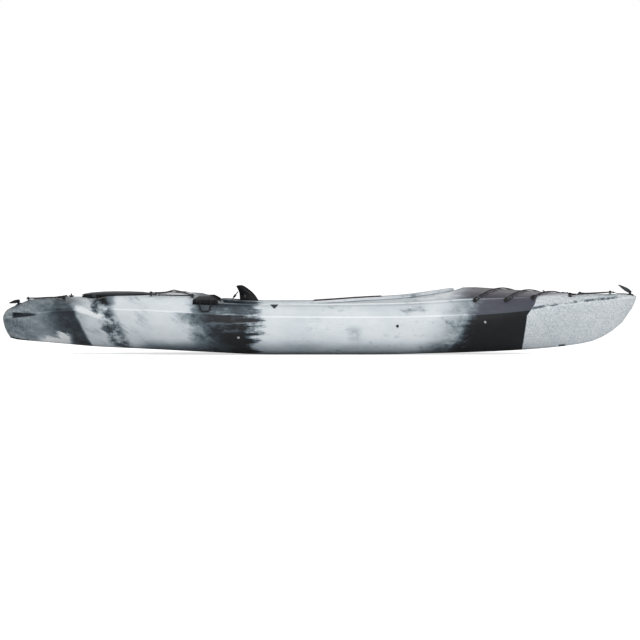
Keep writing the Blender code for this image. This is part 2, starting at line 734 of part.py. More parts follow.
def vee_cord(name, shell, near, apex, far, material):
    # An elastic from one side post round a post on the centreline to the other side post.
    # The turn is to port at the bow and to starboard at the stern.
    out = bearing(near, apex)
    home = bearing(apex, far)
    if apex[0] > near[0]:
        spin = 1
    else:
        spin = -1
    begin = PostTurn(shell, near)
    close = PostTurn(shell, far)
    first = begin.arc((out, -270 * spin), (out, -90 * spin))
    tip = PostTurn(shell, apex).arc((out, -90 * spin), (home, -90 * spin))
    last = close.arc((home, -90 * spin), (home, 90 * spin))
    points = doubled_end(shell, begin, first[0], out, -spin)[::-1] + first
    points += straight_run(shell, first[-1], tip[0], 4) + tip
    points += straight_run(shell, tip[-1], last[0], 4) + last
    points += doubled_end(shell, close, last[-1], home + 180, spin)
    return tube(name, points, CORD_RADIUS, material)


def crossed_cord(name, shell, posts, material):
    # One elastic that runs along both sides of the after deck and crosses over the middle.
    near_aft, near_fore, far_aft, far_fore = posts
    away = bearing(near_fore, far_aft)
    back = bearing(far_fore, near_aft)
    begin = PostTurn(shell, near_aft)
    start = begin.arc((0, 90), (0, 270))
    corner_1 = PostTurn(shell, near_fore).arc((0, -90), (away, -90))
    corner_2 = PostTurn(shell, far_aft).arc((away, 90), (0, 90))
    corner_3 = PostTurn(shell, far_fore).arc((0, 90), (back, 90))
    close = PostTurn(shell, near_aft, 1)
    finish = close.arc((back, -90), (back, 90))
    points = doubled_end(shell, begin, start[0], 0, -1)[::-1] + start
    points += straight_run(shell, start[-1], corner_1[0], 4) + corner_1
    points += straight_run(shell, corner_1[-1], corner_2[0], 10) + corner_2
    points += straight_run(shell, corner_2[-1], corner_3[0], 4) + corner_3
    points += straight_run(shell, corner_3[-1], finish[0], 12, crossing=0.0102) + finish
    points += doubled_end(shell, close, finish[-1], back + 180, 1)
    return tube(name, points, CORD_RADIUS, material)


def tube(name, points, radius, material):
    curve = bpy.data.curves.new(name, "CURVE")
    curve.dimensions = "3D"
    curve.bevel_depth = radius
    curve.bevel_resolution = 2
    curve.use_fill_caps = True
    spline = curve.splines.new("POLY")
    spline.points.add(len(points) - 1)
    for slot, point in zip(spline.points, points):
        slot.co = (*point, 1.0)
    curve.materials.append(material)
    thing = bpy.data.objects.new(name, curve)
    bpy.context.scene.collection.objects.link(thing)
    return thing


def make_bulkhead(foam):
    # A foam wall behind the seat, cut to the inside of the shell.
    wall = block("stern_bulkhead", (0.040, 0.86, 0.46), Matrix.Translation((-0.630, 0, 0.18)), foam)
    combine(wall, inner_body("bulkhead_limit", WALL + GAP), "INTERSECT")
    return wall


def make_pillar(foam):
    # An upright foam block on the centreline under the foredeck.
    pillar = block("bow_foam_pillar", (0.50, 0.056, 0.50), Matrix.Translation((1.33, 0, 0.20)), foam)
    combine(pillar, inner_body("pillar_limit", WALL + GAP), "INTERSECT")
    return pillar


def hatch_top(x):
    # The height of the hatch's edge, which bends down with the deck towards the stern.
    behind = max(HATCH_X - x, 0.0) / HATCH_HALF_LENGTH
    return HATCH_RIM_TOP_Z - HATCH_AFTER_DROP * behind * behind


def make_hatch_rim(clear, rubber):
    # The oval collar on the deck round the hatch, with a raised inner lip that the lid seats over.
    outer = oval(HATCH_X, HATCH_HALF_LENGTH, HATCH_HALF_WIDTH)
    flange = oval(HATCH_X, HATCH_HALF_LENGTH - 0.012, HATCH_HALF_WIDTH - 0.012)
    neck = oval(HATCH_X, HATCH_HALF_LENGTH - 0.030, HATCH_HALF_WIDTH - 0.030)
    mouth = oval(HATCH_X, HATCH_HALF_LENGTH - 0.036, HATCH_HALF_WIDTH - 0.036)
    sections = []
    for o, f, n, m in zip(outer, flange, neck, mouth):
        sections.append([
            Vector((*o, 0.330)),
            Vector((*o, hatch_top(o[0]) - 0.005)),
            Vector((*f, hatch_top(f[0]) - 0.004)),
            Vector((*n, hatch_top(n[0]) - 0.004)),
            Vector((*n, hatch_top(n[0]) + 0.004)),
            Vector((*m, hatch_top(m[0]) + 0.004)),
            Vector((*m, 0.330)),
        ])
    rim = closed_sweep("hatch_rim", sections, rubber)
    combine(rim, clear, "DIFFERENCE")
    return rim


def lid_rings(layers, count):
    # Ovals over the hatch, each a share of its size and a height above its edge.
    rings = []
    for share, rise in layers:
        outline = oval(HATCH_X, HATCH_HALF_LENGTH * share, HATCH_HALF_WIDTH * share, count)
        rings.append([Vector((x, y, hatch_top(x) + rise)) for x, y in outline])
    return rings


def make_hatch_lid(plastic):
    # A domed cap, hollow underneath, whose skirt drops over the collar, with a finger tab at its edge.
    dome = [
        (0.85, -0.0034), (0.985, -0.0034), (1.0, -0.0010), (0.992, 0.0035), (0.93, 0.0080),
        (0.74, 0.0125), (0.42, 0.0150), (0.12, 0.0158),
    ]
    lid = ring_loft("hatch_lid", lid_rings(dome, 32), plastic)
    hollow = lid_rings([(0.90, -0.020), (0.90, 0.0048), (0.70, 0.0088), (0.12, 0.0105)], 24)
    combine(lid, ring_loft("lid_hollow", hollow), "DIFFERENCE")
    edge = hatch_top(LID_TAB_X)
    bridge_place = Matrix.Translation((LID_TAB_X, LID_TAB_Y + 0.0064, edge + 0.0018))
    combine(lid, block("lid_tab_bridge", (0.026, 0.018, 0.0046), bridge_place), "UNION")
    tab_place = Matrix.Translation((LID_TAB_X, LID_TAB_Y, edge - 0.0051))
    combine(lid, block("lid_tab", (0.024, 0.0055, 0.018), tab_place, bevel=0.0015, segments=1), "UNION")
    return lid


def grip_side(length):
    # The grip seen from the side, as (x, z) pairs: thickest at the palm and thin at the far edge.
    under = [(0.0, -0.006), (0.16, -0.0105), (0.42, -0.0105), (0.72, -0.006), (1.01, -0.002)]
    upper = [(1.01, 0.002), (0.72, 0.0065), (0.42, 0.0105), (0.16, 0.009), (0.0, 0.005)]
    return [(share * length, z) for share, z in under + upper]


def carry_handle(name, pivot, tilt, length, material):
    # A moulded palm grip with a finger hole, forked round the lug it swings on; it points aft.
    outline = []
    for x, y in oval(0.5 * length, 0.5 * length, HANDLE_HALF_WIDTH, 20, 0.75, 0.7):
        outline.append((x, (0.58 + 0.42 * x / length) * y))
    plate = prism(name, outline, -0.02, 0.02, material)
    rings = [[Vector((x, y, z)) for x, z in grip_side(length)] for y in (-0.06, 0.06)]
    combine(plate, ring_loft(name + "_side", rings), "INTERSECT")
    hole = oval(0.56 * length, 0.22 * length, 0.027, 14, 0.7, 0.7)
    combine(plate, prism(name + "_hole", hole, -0.03, 0.03), "DIFFERENCE")
    slot = block(name + "_slot", (0.0365, 0.0232, 0.06), Matrix.Translation((0.00325, 0, 0)))
    combine(plate, slot, "DIFFERENCE")
    bore = cross_pin(name + "_bore", (0, 0, 0), HANDLE_PIN_RADIUS + 2 * GAP, 0.06)
    bore.matrix_world = Matrix.Translation((HANDLE_PIN_INSET, 0, 0))
    combine(plate, bore, "DIFFERENCE")
    turn = Matrix.Rotation(math.pi, 4, "Z") @ Matrix.Rotation(tilt, 4, "Y")
    place = Matrix.Translation(pivot) @ turn @ Matrix.Translation((-HANDLE_PIN_INSET, 0, 0))
    plate.matrix_world = place
    for modifier in plate.modifiers:
        modifier.object.matrix_world = place @ modifier.object.matrix_world
    return plate


def handle_mount(name, pivot, shell, clear, material):
    # The deck saddle of a carry handle: a foot, a lug and the pin pressed through it.
    place, normal = shell.deck(pivot.x, 0.0)
    seat = frame_matrix(place, normal, (1, 0, 0)) @ Matrix.Translation((0, 0, -0.002))
    foot = block(name, (0.038, 0.034, 0.012), seat, material, bevel=0.003, segments=1)
    top = pivot.z + 0.0065
    height = top - (place.z - 0.004)
    lug_place = Matrix.Translation((pivot.x, 0, top - height / 2))
    lug = block(name + "_lug", (0.0135, 0.0220, height), lug_place, bevel=0.002, segments=1)
    combine(foot, lug, "UNION")
    combine(foot, cross_pin(name + "_pin", pivot, HANDLE_PIN_RADIUS, 0.034, sides=8), "UNION")
    combine(foot, clear, "DIFFERENCE")
    return foot


def side_handle(side, label, shell, clear, plastic):
    # A saddle on the deck's shoulder with two bosses; the bail swings on stubs between them.
    x = SIDE_HANDLE_X
    edge = Vector((x, side * (deck_edge_y(x) - 0.004), deck_edge_z(x) + 0.002))
    low, _ = shell.side(x, 0.302, side)
    high, _ = shell.deck(x, side * 0.262)
    along = Vector((1, 0, 0))
    slope = Vector((0, high.y - low.y, high.z - low.z)).normalized()
    up = along.cross(slope) * (1 if along.cross(slope).z > 0 else -1)
    matrix = frame_matrix(edge, up, along)
    flip = 1 if (matrix.to_3x3() @ Vector((0, 1, 0))).dot(slope) > 0 else -1
    rings = []
    for height, low, high in ((-0.040, 0.078, 0.046), (0.010, 0.074, 0.042), (0.016, 0.066, 0.036)):
        shape = (
            (-low, -0.026), (low, -0.026), (low, -0.010), (high, 0.036), (-high, 0.036), (-low, -0.010),
        )
        rings.append([matrix @ Vector((x, flip * y, height)) for x, y in shape])
    base = ring_loft(f"side_handle_base_{label}", rings, plastic)
    hinge = matrix @ Vector((0, flip * -0.0365, 0.012))
    boss_place = matrix @ Vector((0, flip * -0.0325, 0.012))
    for end in (-1, 1):
        seat = Matrix.Translation((end * 0.0455, 0, 0)) @ frame_matrix(boss_place, up, along)
        boss = block("bail_boss", (0.0163, 0.0300, 0.0175), seat, bevel=0.0042, segments=1)
        combine(base, boss, "UNION")
        stub_place = frame_matrix(hinge + Vector((end * 0.0405, 0, 0)), (-end, 0, 0), (0, 0, 1))
        stub_profile = [(BAIL_STUB_RADIUS, 0.0), (BAIL_STUB_RADIUS, 0.012)]
        combine(base, turned("bail_stub", stub_profile, stub_place, sides=10), "UNION")
    combine(base, clear, "DIFFERENCE")
    return hinge


def side_bail(side, label, shell, hinge, rubber):
    # A hanging U-shaped grip; it lies against the hull side below its hinge.
    tip, normal = shell.side(hinge.x, hinge.z - 0.058, side)
    tip = tip + normal * 0.0085
    down = tip - hinge
    down.x = 0.0
    down.normalize()
    out = Vector((1, 0, 0)).cross(down)
    if out.y * side < 0:
        out = -out
    leg = [(BAIL_HALF_WIDTH, 0.0), (BAIL_HALF_WIDTH, 0.020), (0.0300, 0.040), (0.0270, 0.052)]
    leg.append((0.0200, BAIL_LENGTH))
    trace = [(-x, d) for x, d in leg] + [(0.0, BAIL_LENGTH + 0.001)] + leg[::-1]
    path = [hinge + Vector((x, 0, 0)) + down * d for x, d in trace]
    rings = []
    for i, point in enumerate(path):
        before = path[max(i - 1, 0)]
        after = path[min(i + 1, len(path) - 1)]
        run = (after - before).normalized()
        across = out.cross(run).normalized()
        ring = []
        for k in range(6):
            angle = 2 * math.pi * (k + 0.5) / 6
            ring.append(point + out * 0.0040 * math.sin(angle) + across * 0.0052 * math.cos(angle))
        rings.append(ring)
    bail = ring_loft(f"side_handle_bail_{label}", rings, rubber)
    for end in (-1, 1):
        place = frame_matrix(hinge + Vector((end * BAIL_HALF_WIDTH, 0, 0)), (1, 0, 0), (0, 0, 1))
        combine(bail, turned("bail_eye", [(0.0068, -0.0052), (0.0068, 0.0052)], place, sides=10), "UNION")
    bore_radius = BAIL_STUB_RADIUS + 0.0004
    for end in (-1, 1):
        place = frame_matrix(hinge + Vector((end * 0.0355, 0, 0)), (1, 0, 0), (0, 0, 1))
        profile = [(bore_radius, -0.0125), (bore_radius, 0.0125)]
        combine(bail, turned("bail_bore", profile, place, sides=10), "DIFFERENCE")
    return bail


def pad_section(place, inward):
    # The pad's section at one point of the rim, from the wall inwards; it stands a little above the rim.
    top = rim_z(place.x) + 0.002
    lean = place.lerp(inward, 0.75)
    return [
        Vector((place.x, place.y, top - 0.052)),
        Vector((lean.x, lean.y, top - 0.052)),
        Vector((inward.x, inward.y, top - 0.040)),
        Vector((inward.x, inward.y, top - 0.010)),
        Vector((lean.x, lean.y, top)),
        Vector((place.x, place.y, top)),
    ]


def thigh_pad(name, side, foam):
    # A foam pad on the inner face of the coaming, along the thigh, cut off square at both ends.
    corners = [pad_section(p, q) for p, q in zip(cockpit_outline(-0.0022), cockpit_outline(-0.0200))]
    corners = [c for c in corners if c[0].y * side > 0.01]
    corners.sort(key=lambda corner: corner[0].x)
    low, high = THIGH_PAD_X
    sections = []
    for before, after in zip(corners, corners[1:]):
        start = before[0].x
        end = after[0].x
        if end < low or start > high:
            continue
        first = max((low - start) / (end - start), 0.0)
        last = min((high - start) / (end - start), 1.0)
        if not sections:
            sections.append([p.lerp(q, first) for p, q in zip(before, after)])
        sections.append([p.lerp(q, last) for p, q in zip(before, after)])
    return ring_loft(name, sections, foam)


def grid_sheet(name, front, back, material):
    # A closed body between two grids of points of the same size.
    rows = len(front)
    columns = len(front[0])
    points = [p for row in front for p in row] + [p for row in back for p in row]
    shift = rows * columns
    faces = []
    for r in range(rows - 1):
        for c in range(columns - 1):
            a = r * columns + c
            b = a + 1
            d = b + columns
            e = a + columns
            faces += [(a, b, d), (a, d, e)]
            faces += [(shift + a, shift + d, shift + b), (shift + a, shift + e, shift + d)]
    border = list(range(columns))
    border += [r * columns + columns - 1 for r in range(1, rows)]
    border += [(rows - 1) * columns + c for c in range(columns - 2, -1, -1)]
    border += [r * columns for r in range(rows - 2, 0, -1)]
    for i, a in enumerate(border):
        b = border[(i + 1) % len(border)]
        faces.append((a, shift + a, shift + b, b))
    return mesh_object(name, points, faces, material)


def grid_normals(grid):
    rows = len(grid)
    columns = len(grid[0])
    normals = []
    for r in range(rows):
        line = []
        for c in range(columns):
            across = grid[r][min(c + 1, columns - 1)] - grid[r][max(c - 1, 0)]
            along = grid[min(r + 1, rows - 1)][c] - grid[max(r - 1, 0)][c]
            line.append(across.cross(along).normalized())
        normals.append(line)
    return normals


def seat_height(x, y):
    # The pan's upper face: dished under the hips, raised at the thighs and at both sides.
    rise = min(max((x + 0.30) / 0.27, 0.0), 1.0)
    dish = 0.012 * math.exp(-((x + 0.33) / 0.12) ** 2) * (1 - (y / SEAT_HALF_WIDTH) ** 2)
    bolster = 0.034 * abs(y / SEAT_HALF_WIDTH) ** 4
    return SEAT_HEIGHT + 0.030 * rise * rise * (3 - 2 * rise) - dish + bolster


def make_seat_pan(shell, plastic):
    xs = np.linspace(SEAT_REAR_X, SEAT_FRONT_X, 12)
    shares = np.array([0.35, 0.6, 0.78, 0.9, 1.0])
    ys = SEAT_HALF_WIDTH * np.concatenate([-shares[::-1], [0], shares])
    top = [[Vector((x, y, seat_height(x, y))) for y in ys] for x in xs]
    under = [[p - Vector((0, 0, SEAT_THICKNESS)) for p in row] for row in top]
    pan = grid_sheet("seat_pan", top, under, plastic)
    limit = inner_body("seat_limit", WALL + GAP)
    for side in (1, -1):
        rings = []
        for x in (-0.43, -0.34, -0.25, -0.16, -0.07):
            high = seat_height(x, 0.13) - 0.6 * SEAT_THICKNESS
            corners = ((0.124, -0.05), (0.136, -0.05), (0.136, high), (0.124, high))
            rings.append(section(x, side, corners))
        runner = ring_loft("seat_runner", rings)
        combine(runner, limit, "INTERSECT")
        combine(pan, runner, "UNION")
        lug_place = Matrix.Translation((SEAT_HINGE.x, side * SEAT_LUG_Y, SEAT_HINGE.z - 0.012))
        lug = block("seat_lug", (0.030, 0.009, 0.052), lug_place, bevel=0.003, segments=1)
        combine(pan, lug, "UNION")
        bracket_place = Matrix.Translation((-0.470, side * 0.306, 0.1065))
        bracket = block("seat_bracket", (0.044, 0.24, 0.030), bracket_place)
        combine(bracket, limit, "INTERSECT")
        combine(pan, bracket, "UNION")
        place, normal = shell.side(*SEAT_BOLT, side)
        combine(pan, bolt_hole("seat_bolt_hole", place, normal), "DIFFERENCE")
    combine(pan, cross_pin("seat_bore", SEAT_HINGE, HINGE_BORE_RADIUS, 0.30), "DIFFERENCE")
    return pan


def back_point(turn, z):
    # The seat back's front face at height z: a boxy U in plan, with wings that reach forward.
    rear = seat_back_rear(z)
    s = math.sin(turn)
    y = seat_back_half(z) * math.copysign(abs(s) ** 0.62, s)
    return Vector((rear + (seat_back_wing(z) - rear) * (1 - abs(math.cos(turn)) ** 0.62), y, z))


def make_seat_back(plastic):
    heights = (0.150, 0.185, 0.225, 0.265, 0.300, 0.323, 0.345, 0.368, 0.388, 0.402, 0.411)
    turns = [math.radians(a) for a in (-90, -78, -64, -48, -30, -12, 12, 30, 48, 64, 78, 90)]
    face = [[back_point(t, z) for t in turns] for z in heights]
    normals = grid_normals(face)
    outside = [[p - n * BACK_THICKNESS for p, n in zip(row, line)] for row, line in zip(face, normals)]
    back = grid_sheet("seat_back_shell", face, outside, plastic)
    for side in (1, -1):
        ear_place = Matrix.Translation((SEAT_HINGE.x - 0.003, side * SEAT_EAR_Y, 0.140))
        ear = block("back_ear", (0.034, 0.0085, 0.070), ear_place, bevel=0.003, segments=1)
        combine(back, ear, "UNION")
    combine(back, cross_pin("wing_hole", (-0.452, 0, 0.3467), 0.0125, 0.30, sides=12), "DIFFERENCE")
    slot_turn = Matrix.Translation((-0.423, 0, 0.3615)) @ Matrix.Rotation(math.radians(48), 4, "Y")
    slot = block("wing_slot", (0.026, 0.60, 0.009), slot_turn, bevel=0.004, segments=1)
    combine(back, slot, "DIFFERENCE")
    combine(back, cross_pin("back_bore", SEAT_HINGE, HINGE_BORE_RADIUS, 0.30), "DIFFERENCE")
    hole_frame = frame_matrix(KEEPER_TOP, KEEPER_TOP - KEEPER_FOOT, (0, 1, 0))
    hole = turned("keeper_hole", [(0.0046, -0.02), (0.0046, 0.05)], hole_frame, sides=8)
    combine(back, hole, "DIFFERENCE")
    return back


def pad_profile(u, v, channels):
    # Crowned, with drawn-in sides and sewn channels across it; u and v run from -1 to 1.
    body = (1 - abs(u) ** 5) ** 0.45 * (1 - abs(v) ** 5) ** 0.45
    crown = 0.82 + 0.18 * (1 - u * u) * (1 - v * v)
    for place in channels:
        crown -= 0.26 * math.exp(-((v - place) / 0.075) ** 2)
    return max(body * crown, 0.12)


def make_back_pad(fabric):
    front = []
    rear = []
    for v in np.linspace(-1, 1, 17):
        z = 0.284 + 0.099 * v
        front_line = []
        rear_line = []
        for u in np.linspace(-1, 1, 11):
            turn = math.radians(52) * u
            base = back_point(turn, z)
            ahead = back_point(turn + 0.02, z) - back_point(turn - 0.02, z)
            normal = Vector((ahead.y, -ahead.x, 0)).normalized()
            rear_line.append(base + normal * 0.0022)
            front_line.append(base + normal * (0.0022 + 0.026 * pad_profile(u, v, (-0.38, 0.30))))
        front.append(front_line)
        rear.append(rear_line)
    return grid_sheet("seat_back_pad", front, rear, fabric)


def make_seat_cushion(fabric):
    upper = []
    lower = []
    for v in np.linspace(-1, 1, 19):
        x = -0.222 + 0.176 * v
        upper_line = []
        lower_line = []
        for u in np.linspace(-1, 1, 11):
            y = 0.168 * u
            base = Vector((x, y, seat_height(x, y) + 0.0022))
            rise = 0.032 * pad_profile(u, v, (-0.40, 0.05, 0.50))
            lower_line.append(base)
            upper_line.append(base + Vector((0, 0, rise)))
        upper.append(upper_line)
        lower.append(lower_line)
    return grid_sheet("seat_cushion", upper, lower, fabric)


def hinge_pin(name, side, steel):
    place = Matrix.Translation((SEAT_HINGE.x, side * SEAT_PIN_Y, SEAT_HINGE.z))
    matrix = place @ Matrix.Rotation(-side * math.pi / 2, 4, "X")
    profile = [
        (0.0040, -0.0145), (0.0040, 0.0105), (0.0072, 0.0107), (0.0072, 0.0135), (0.0045, 0.0155),
    ]
    return turned(name, profile, matrix, steel, sides=10)


def make_keeper(cord, plastic):
    # The elastic that holds the seat back up, from the back's rear face down to an eye on the bulkhead.
    run = (KEEPER_FOOT - KEEPER_TOP).normalized()
    start = KEEPER_TOP + run * 0.004
    end = KEEPER_FOOT - run * 0.0095
    tube("back_keeper_cord", [start.lerp(end, t) for t in np.linspace(0, 1, 5)], KEEPER_RADIUS, cord)
    eye_place = Matrix.Translation((BULKHEAD_FACE_X + 0.0055, 0, KEEPER_FOOT.z))
    eye = block("keeper_eye", (0.010, 0.030, 0.046), eye_place, plastic, bevel=0.0025, segments=1)
    nose_place = Matrix.Translation((BULKHEAD_FACE_X + 0.0155, 0, KEEPER_FOOT.z - 0.004))
    nose = block("keeper_nose", (0.020, 0.012, 0.014), nose_place, bevel=0.003, segments=1)
    combine(eye, nose, "UNION")
    return eye


def brace_rail_frame(shell, side):
    # The rail's two bolted ends, and its own frame: x along the rail, z out of the hull wall.
    ends = []
    for bolt in BRACE_BOLTS:
        place, normal = shell.side(*bolt, side)
        ends.append((place, normal, place - normal * (WALL + RAIL_STANDOFF)))
    run = ends[1][2] - ends[0][2]
    inward = -(ends[0][1] + ends[1][1])
    matrix = frame_matrix((ends[0][2] + ends[1][2]) / 2, inward, run)
    return ends, matrix, run.length


def brace_plate(name, matrix, flip, outline, low, high, material=None):
    # Extrudes an outline of (along, up) pairs in the rail's frame, from low to high off the hull wall.
    rings = [[matrix @ Vector((x, flip * y, z)) for x, y in outline] for z in (low, high)]
    return ring_loft(name, rings, material)


def make_foot_rail(name, shell, side, metal):
    # A flat bar with square notches along its lower edge and a boss behind each bolt.
    ends, matrix, span = brace_rail_frame(shell, side)
    half = span / 2 + 0.022
    tall = RAIL_HALF_HEIGHT
    root = -0.0085
    outline = [(-half, tall), (half, tall), (half, -tall)]
    for i in range(RAIL_TEETH):
        x = RAIL_TOOTH_PITCH * ((RAIL_TEETH - 1) / 2 - i)
        outline += [(x + 0.007, -tall), (x + 0.004, root), (x - 0.004, root), (x - 0.007, -tall)]
    outline.append((-half, -tall))
    flip = 1 if (matrix.to_3x3() @ Vector((0, 1, 0))).z > 0 else -1
    rail = brace_plate(name, matrix, flip, outline, -RAIL_HALF_THICKNESS, RAIL_HALF_THICKNESS, metal)
    for place, normal, centre in ends:
        boss_frame = frame_matrix(centre, normal, (1, 0, 0))
        boss = turned("rail_boss", [(0.010, 0.0), (0.010, RAIL_STANDOFF + 0.01)], boss_frame, sides=10)
        combine(rail, boss, "UNION")
        combine(rail, bolt_hole("rail_hole", place, normal, depth=0.045), "DIFFERENCE")
    combine(rail, inner_body("rail_limit", WALL + GAP), "INTERSECT")
    return rail


def brace_local(shell, side):
    _, matrix, _ = brace_rail_frame(shell, side)
    flip = 1 if (matrix.to_3x3() @ Vector((0, 1, 0))).z > 0 else -1
    return matrix, flip


def make_foot_pedal(name, shell, side, plastic):
    # A ridged foot plate on a sleeve that slides along the rail.
    matrix, flip = brace_local(shell, side)
    sleeve = block(name, (0.052, 0.040, 0.0225), matrix, plastic, bevel=0.003, segments=1)
    plate = [(-0.026, -0.058), (-0.016, -0.058), (-0.012, 0.0), (-0.016, 0.066), (-0.026, 0.066)]
    for i in range(5):
        y = 0.052 - 0.026 * i
        plate += [(-0.026, y + 0.006), (-0.0295, y + 0.003), (-0.0295, y - 0.003), (-0.026, y - 0.006)]
    combine(sleeve, brace_plate(name + "_plate", matrix, flip, plate, 0.0082, 0.098), "UNION")
    web_place = matrix @ Matrix.Translation((-0.012, flip * 0.0155, 0.034))
    combine(sleeve, block(name + "_web", (0.016, 0.006, 0.050), web_place), "UNION")
    way = (0.08, 2 * (RAIL_HALF_HEIGHT + GAP), 2 * (RAIL_HALF_THICKNESS + GAP))
    combine(sleeve, block(name + "_way", way, matrix), "DIFFERENCE")
    stub_place = lever_frame(matrix, flip, 0.0090)
    stub = turned(name + "_stub", [(0.0040, 0.0), (0.0040, 0.0230)], stub_place, sides=10)
    combine(sleeve, stub, "UNION")
    return sleeve


def lever_frame(matrix, flip, height):
    # A place on the lever's own pivot line, that far off the hull wall's side of the rail.
    x, y = LEVER_PIVOT
    return matrix @ Matrix.Translation((x, flip * y, height))


def make_foot_lever(name, shell, side, plastic):
    # The release lever beside the rail: it swings on the pedal's stub.
    matrix, flip = brace_local(shell, side)
    outline = [
        (0.0, -0.014), (0.010, -0.012), (0.013, 0.0), (0.017, 0.028), (0.026, 0.052), (0.021, 0.055),
        (0.009, 0.030), (0.001, 0.010), (-0.007, 0.004), (-0.009, -0.008),
    ]
    lever = brace_plate(name, lever_frame(matrix, flip, 0.0), flip, outline, 0.0135, 0.0215, plastic)
    bore_place = lever_frame(matrix, flip, 0.006)
    bore = turned(name + "_bore", [(0.0043, 0.0), (0.0043, 0.03)], bore_place, sides=10)
    combine(lever, bore, "DIFFERENCE")
    return lever


def through_bolt(name, place, normal, steel):
    # A domed bolt from outside: the head on the hull, the shank through the wall.
    shank = 0.0030
    profile = [(shank, -BOLT_LENGTH), (shank, 0.0006), (0.0085, 0.0008), (0.0085, 0.0022), (0.0055, 0.0048)]
    return turned(name, profile, frame_matrix(place, normal, (1, 0, 0)), steel, sides=10)


def make_end_handle(label, handle, shell, clear, mount_material, grip_material):
    x, height, length, tilt = handle
    pivot = Vector((x, 0.0, shell.deck(x, 0.0)[0].z + height))
    handle_mount(f"{label}_handle_mount", pivot, shell, clear, mount_material)
    carry_handle(f"{label}_handle", pivot, tilt, length, grip_material)


def main():
    clear_scene()
    shell_plastic = make_material("marbled_polyethylene", (0.42, 0.45, 0.48), 0.34)
    black_plastic = make_material("black_nylon", (0.02, 0.02, 0.022), 0.42)
    grey_plastic = make_material("grey_nylon", (0.09, 0.095, 0.10), 0.45)
    rubber = make_material("black_rubber", (0.018, 0.018, 0.02), 0.6)
    foam = make_material("closed_cell_foam", (0.05, 0.05, 0.055), 0.9)
    cord = make_material("elastic_cord", (0.015, 0.015, 0.017), 0.75)
    fabric = make_material("seat_fabric", (0.03, 0.03, 0.033), 0.85)
    steel = make_material("stainless_steel", (0.62, 0.62, 0.63), 0.3, 1.0)
    aluminium = make_material("anodised_aluminium", (0.35, 0.35, 0.36), 0.4, 1.0)

    guide = as_cutter(outer_body("shell_guide"))
    shell = Surface(guide)
    clear = as_cutter(outer_body("shell_clearance", -GAP))

    make_hull(shell, shell_plastic)
    make_skid_plate(rubber)
    make_bulkhead(foam)
    make_pillar(foam)
    make_hatch_rim(clear, rubber)
    make_hatch_lid(grey_plastic)
    make_drain_plug(shell, black_plastic)

    make_end_handle("bow", BOW_HANDLE, shell, clear, black_plastic, grey_plastic)
    make_end_handle("stern", STERN_HANDLE, shell, clear, black_plastic, black_plastic)

    make_seat_pan(shell, black_plastic)
    make_seat_cushion(fabric)
    make_seat_back(black_plastic)
    make_back_pad(fabric)
    make_keeper(cord, black_plastic)

    for side, label in ((1, "port"), (-1, "starboard")):
        hinge = side_handle(side, label, shell, clear, black_plastic)
        side_bail(side, label, shell, hinge, grey_plastic)
        thigh_pad(f"thigh_pad_{label}", side, foam)
        hinge_pin(f"seat_hinge_pin_{label}", side, steel)
        make_foot_rail(f"foot_rail_{label}", shell, side, aluminium)
        make_foot_pedal(f"foot_pedal_{label}", shell, side, black_plastic)
        make_foot_lever(f"foot_lever_{label}", shell, side, grey_plastic)
        for end, bolt in zip(("aft", "fore"), BRACE_BOLTS):
            through_bolt(f"rail_bolt_{label}_{end}", *shell.side(*bolt, side), steel)
        through_bolt(f"seat_bolt_{label}", *shell.side(*SEAT_BOLT, side), steel)

    posts = [
        ("bow_post_starboard_", STARBOARD_BOW_POSTS), ("bow_post_port_", PORT_BOW_POSTS),
        ("bow_post_apex_", [BOW_APEX_POST]), ("after_post_", AFTER_DECK_POSTS),
        ("stern_post_", STERN_POSTS),
    ]
    for prefix, places in posts:
        for i, place in enumerate(places):
            levels = 2 if place == AFTER_DECK_POSTS[0] else 1
            make_post(f"{prefix}{i + 1}", shell, place, clear, rubber, levels)
    for i in range(3):
        single_cord(f"bow_bungee_{i + 1}", shell, STARBOARD_BOW_POSTS[i], PORT_BOW_POSTS[i], cord)
    vee_cord("bow_vee_bungee", shell, STARBOARD_BOW_POSTS[3], BOW_APEX_POST, PORT_BOW_POSTS[3], cord)
    crossed_cord("after_deck_bungee", shell, AFTER_DECK_POSTS, cord)
    vee_cord("stern_vee_bungee", shell, *STERN_POSTS, cord)


main()
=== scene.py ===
# Looks for the recreational kayak: metres, +X to the bow, +Y to port, +Z up, keel on z = 0.

import json
import math
from types import SimpleNamespace

import bmesh
import bpy
import numpy as np
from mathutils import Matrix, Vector


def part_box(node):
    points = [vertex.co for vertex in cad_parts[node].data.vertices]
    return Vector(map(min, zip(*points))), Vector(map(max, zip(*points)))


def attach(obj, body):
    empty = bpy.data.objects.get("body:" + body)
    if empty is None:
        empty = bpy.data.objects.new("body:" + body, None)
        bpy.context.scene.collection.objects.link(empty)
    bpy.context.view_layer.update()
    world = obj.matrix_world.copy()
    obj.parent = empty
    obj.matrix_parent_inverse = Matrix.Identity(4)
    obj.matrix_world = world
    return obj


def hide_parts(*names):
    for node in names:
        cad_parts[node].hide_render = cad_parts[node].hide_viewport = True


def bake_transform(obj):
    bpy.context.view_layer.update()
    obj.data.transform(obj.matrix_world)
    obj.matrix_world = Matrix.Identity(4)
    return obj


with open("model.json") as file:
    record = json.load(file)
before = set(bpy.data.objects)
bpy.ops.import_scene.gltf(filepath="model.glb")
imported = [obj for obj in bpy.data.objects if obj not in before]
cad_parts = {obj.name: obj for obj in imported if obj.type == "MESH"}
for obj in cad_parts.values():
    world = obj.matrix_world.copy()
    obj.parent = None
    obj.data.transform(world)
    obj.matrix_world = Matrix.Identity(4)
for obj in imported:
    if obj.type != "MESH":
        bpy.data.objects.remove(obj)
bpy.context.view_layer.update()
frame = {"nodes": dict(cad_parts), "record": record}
nodes = frame["nodes"]
print("frame loaded with", len(nodes), "nodes")


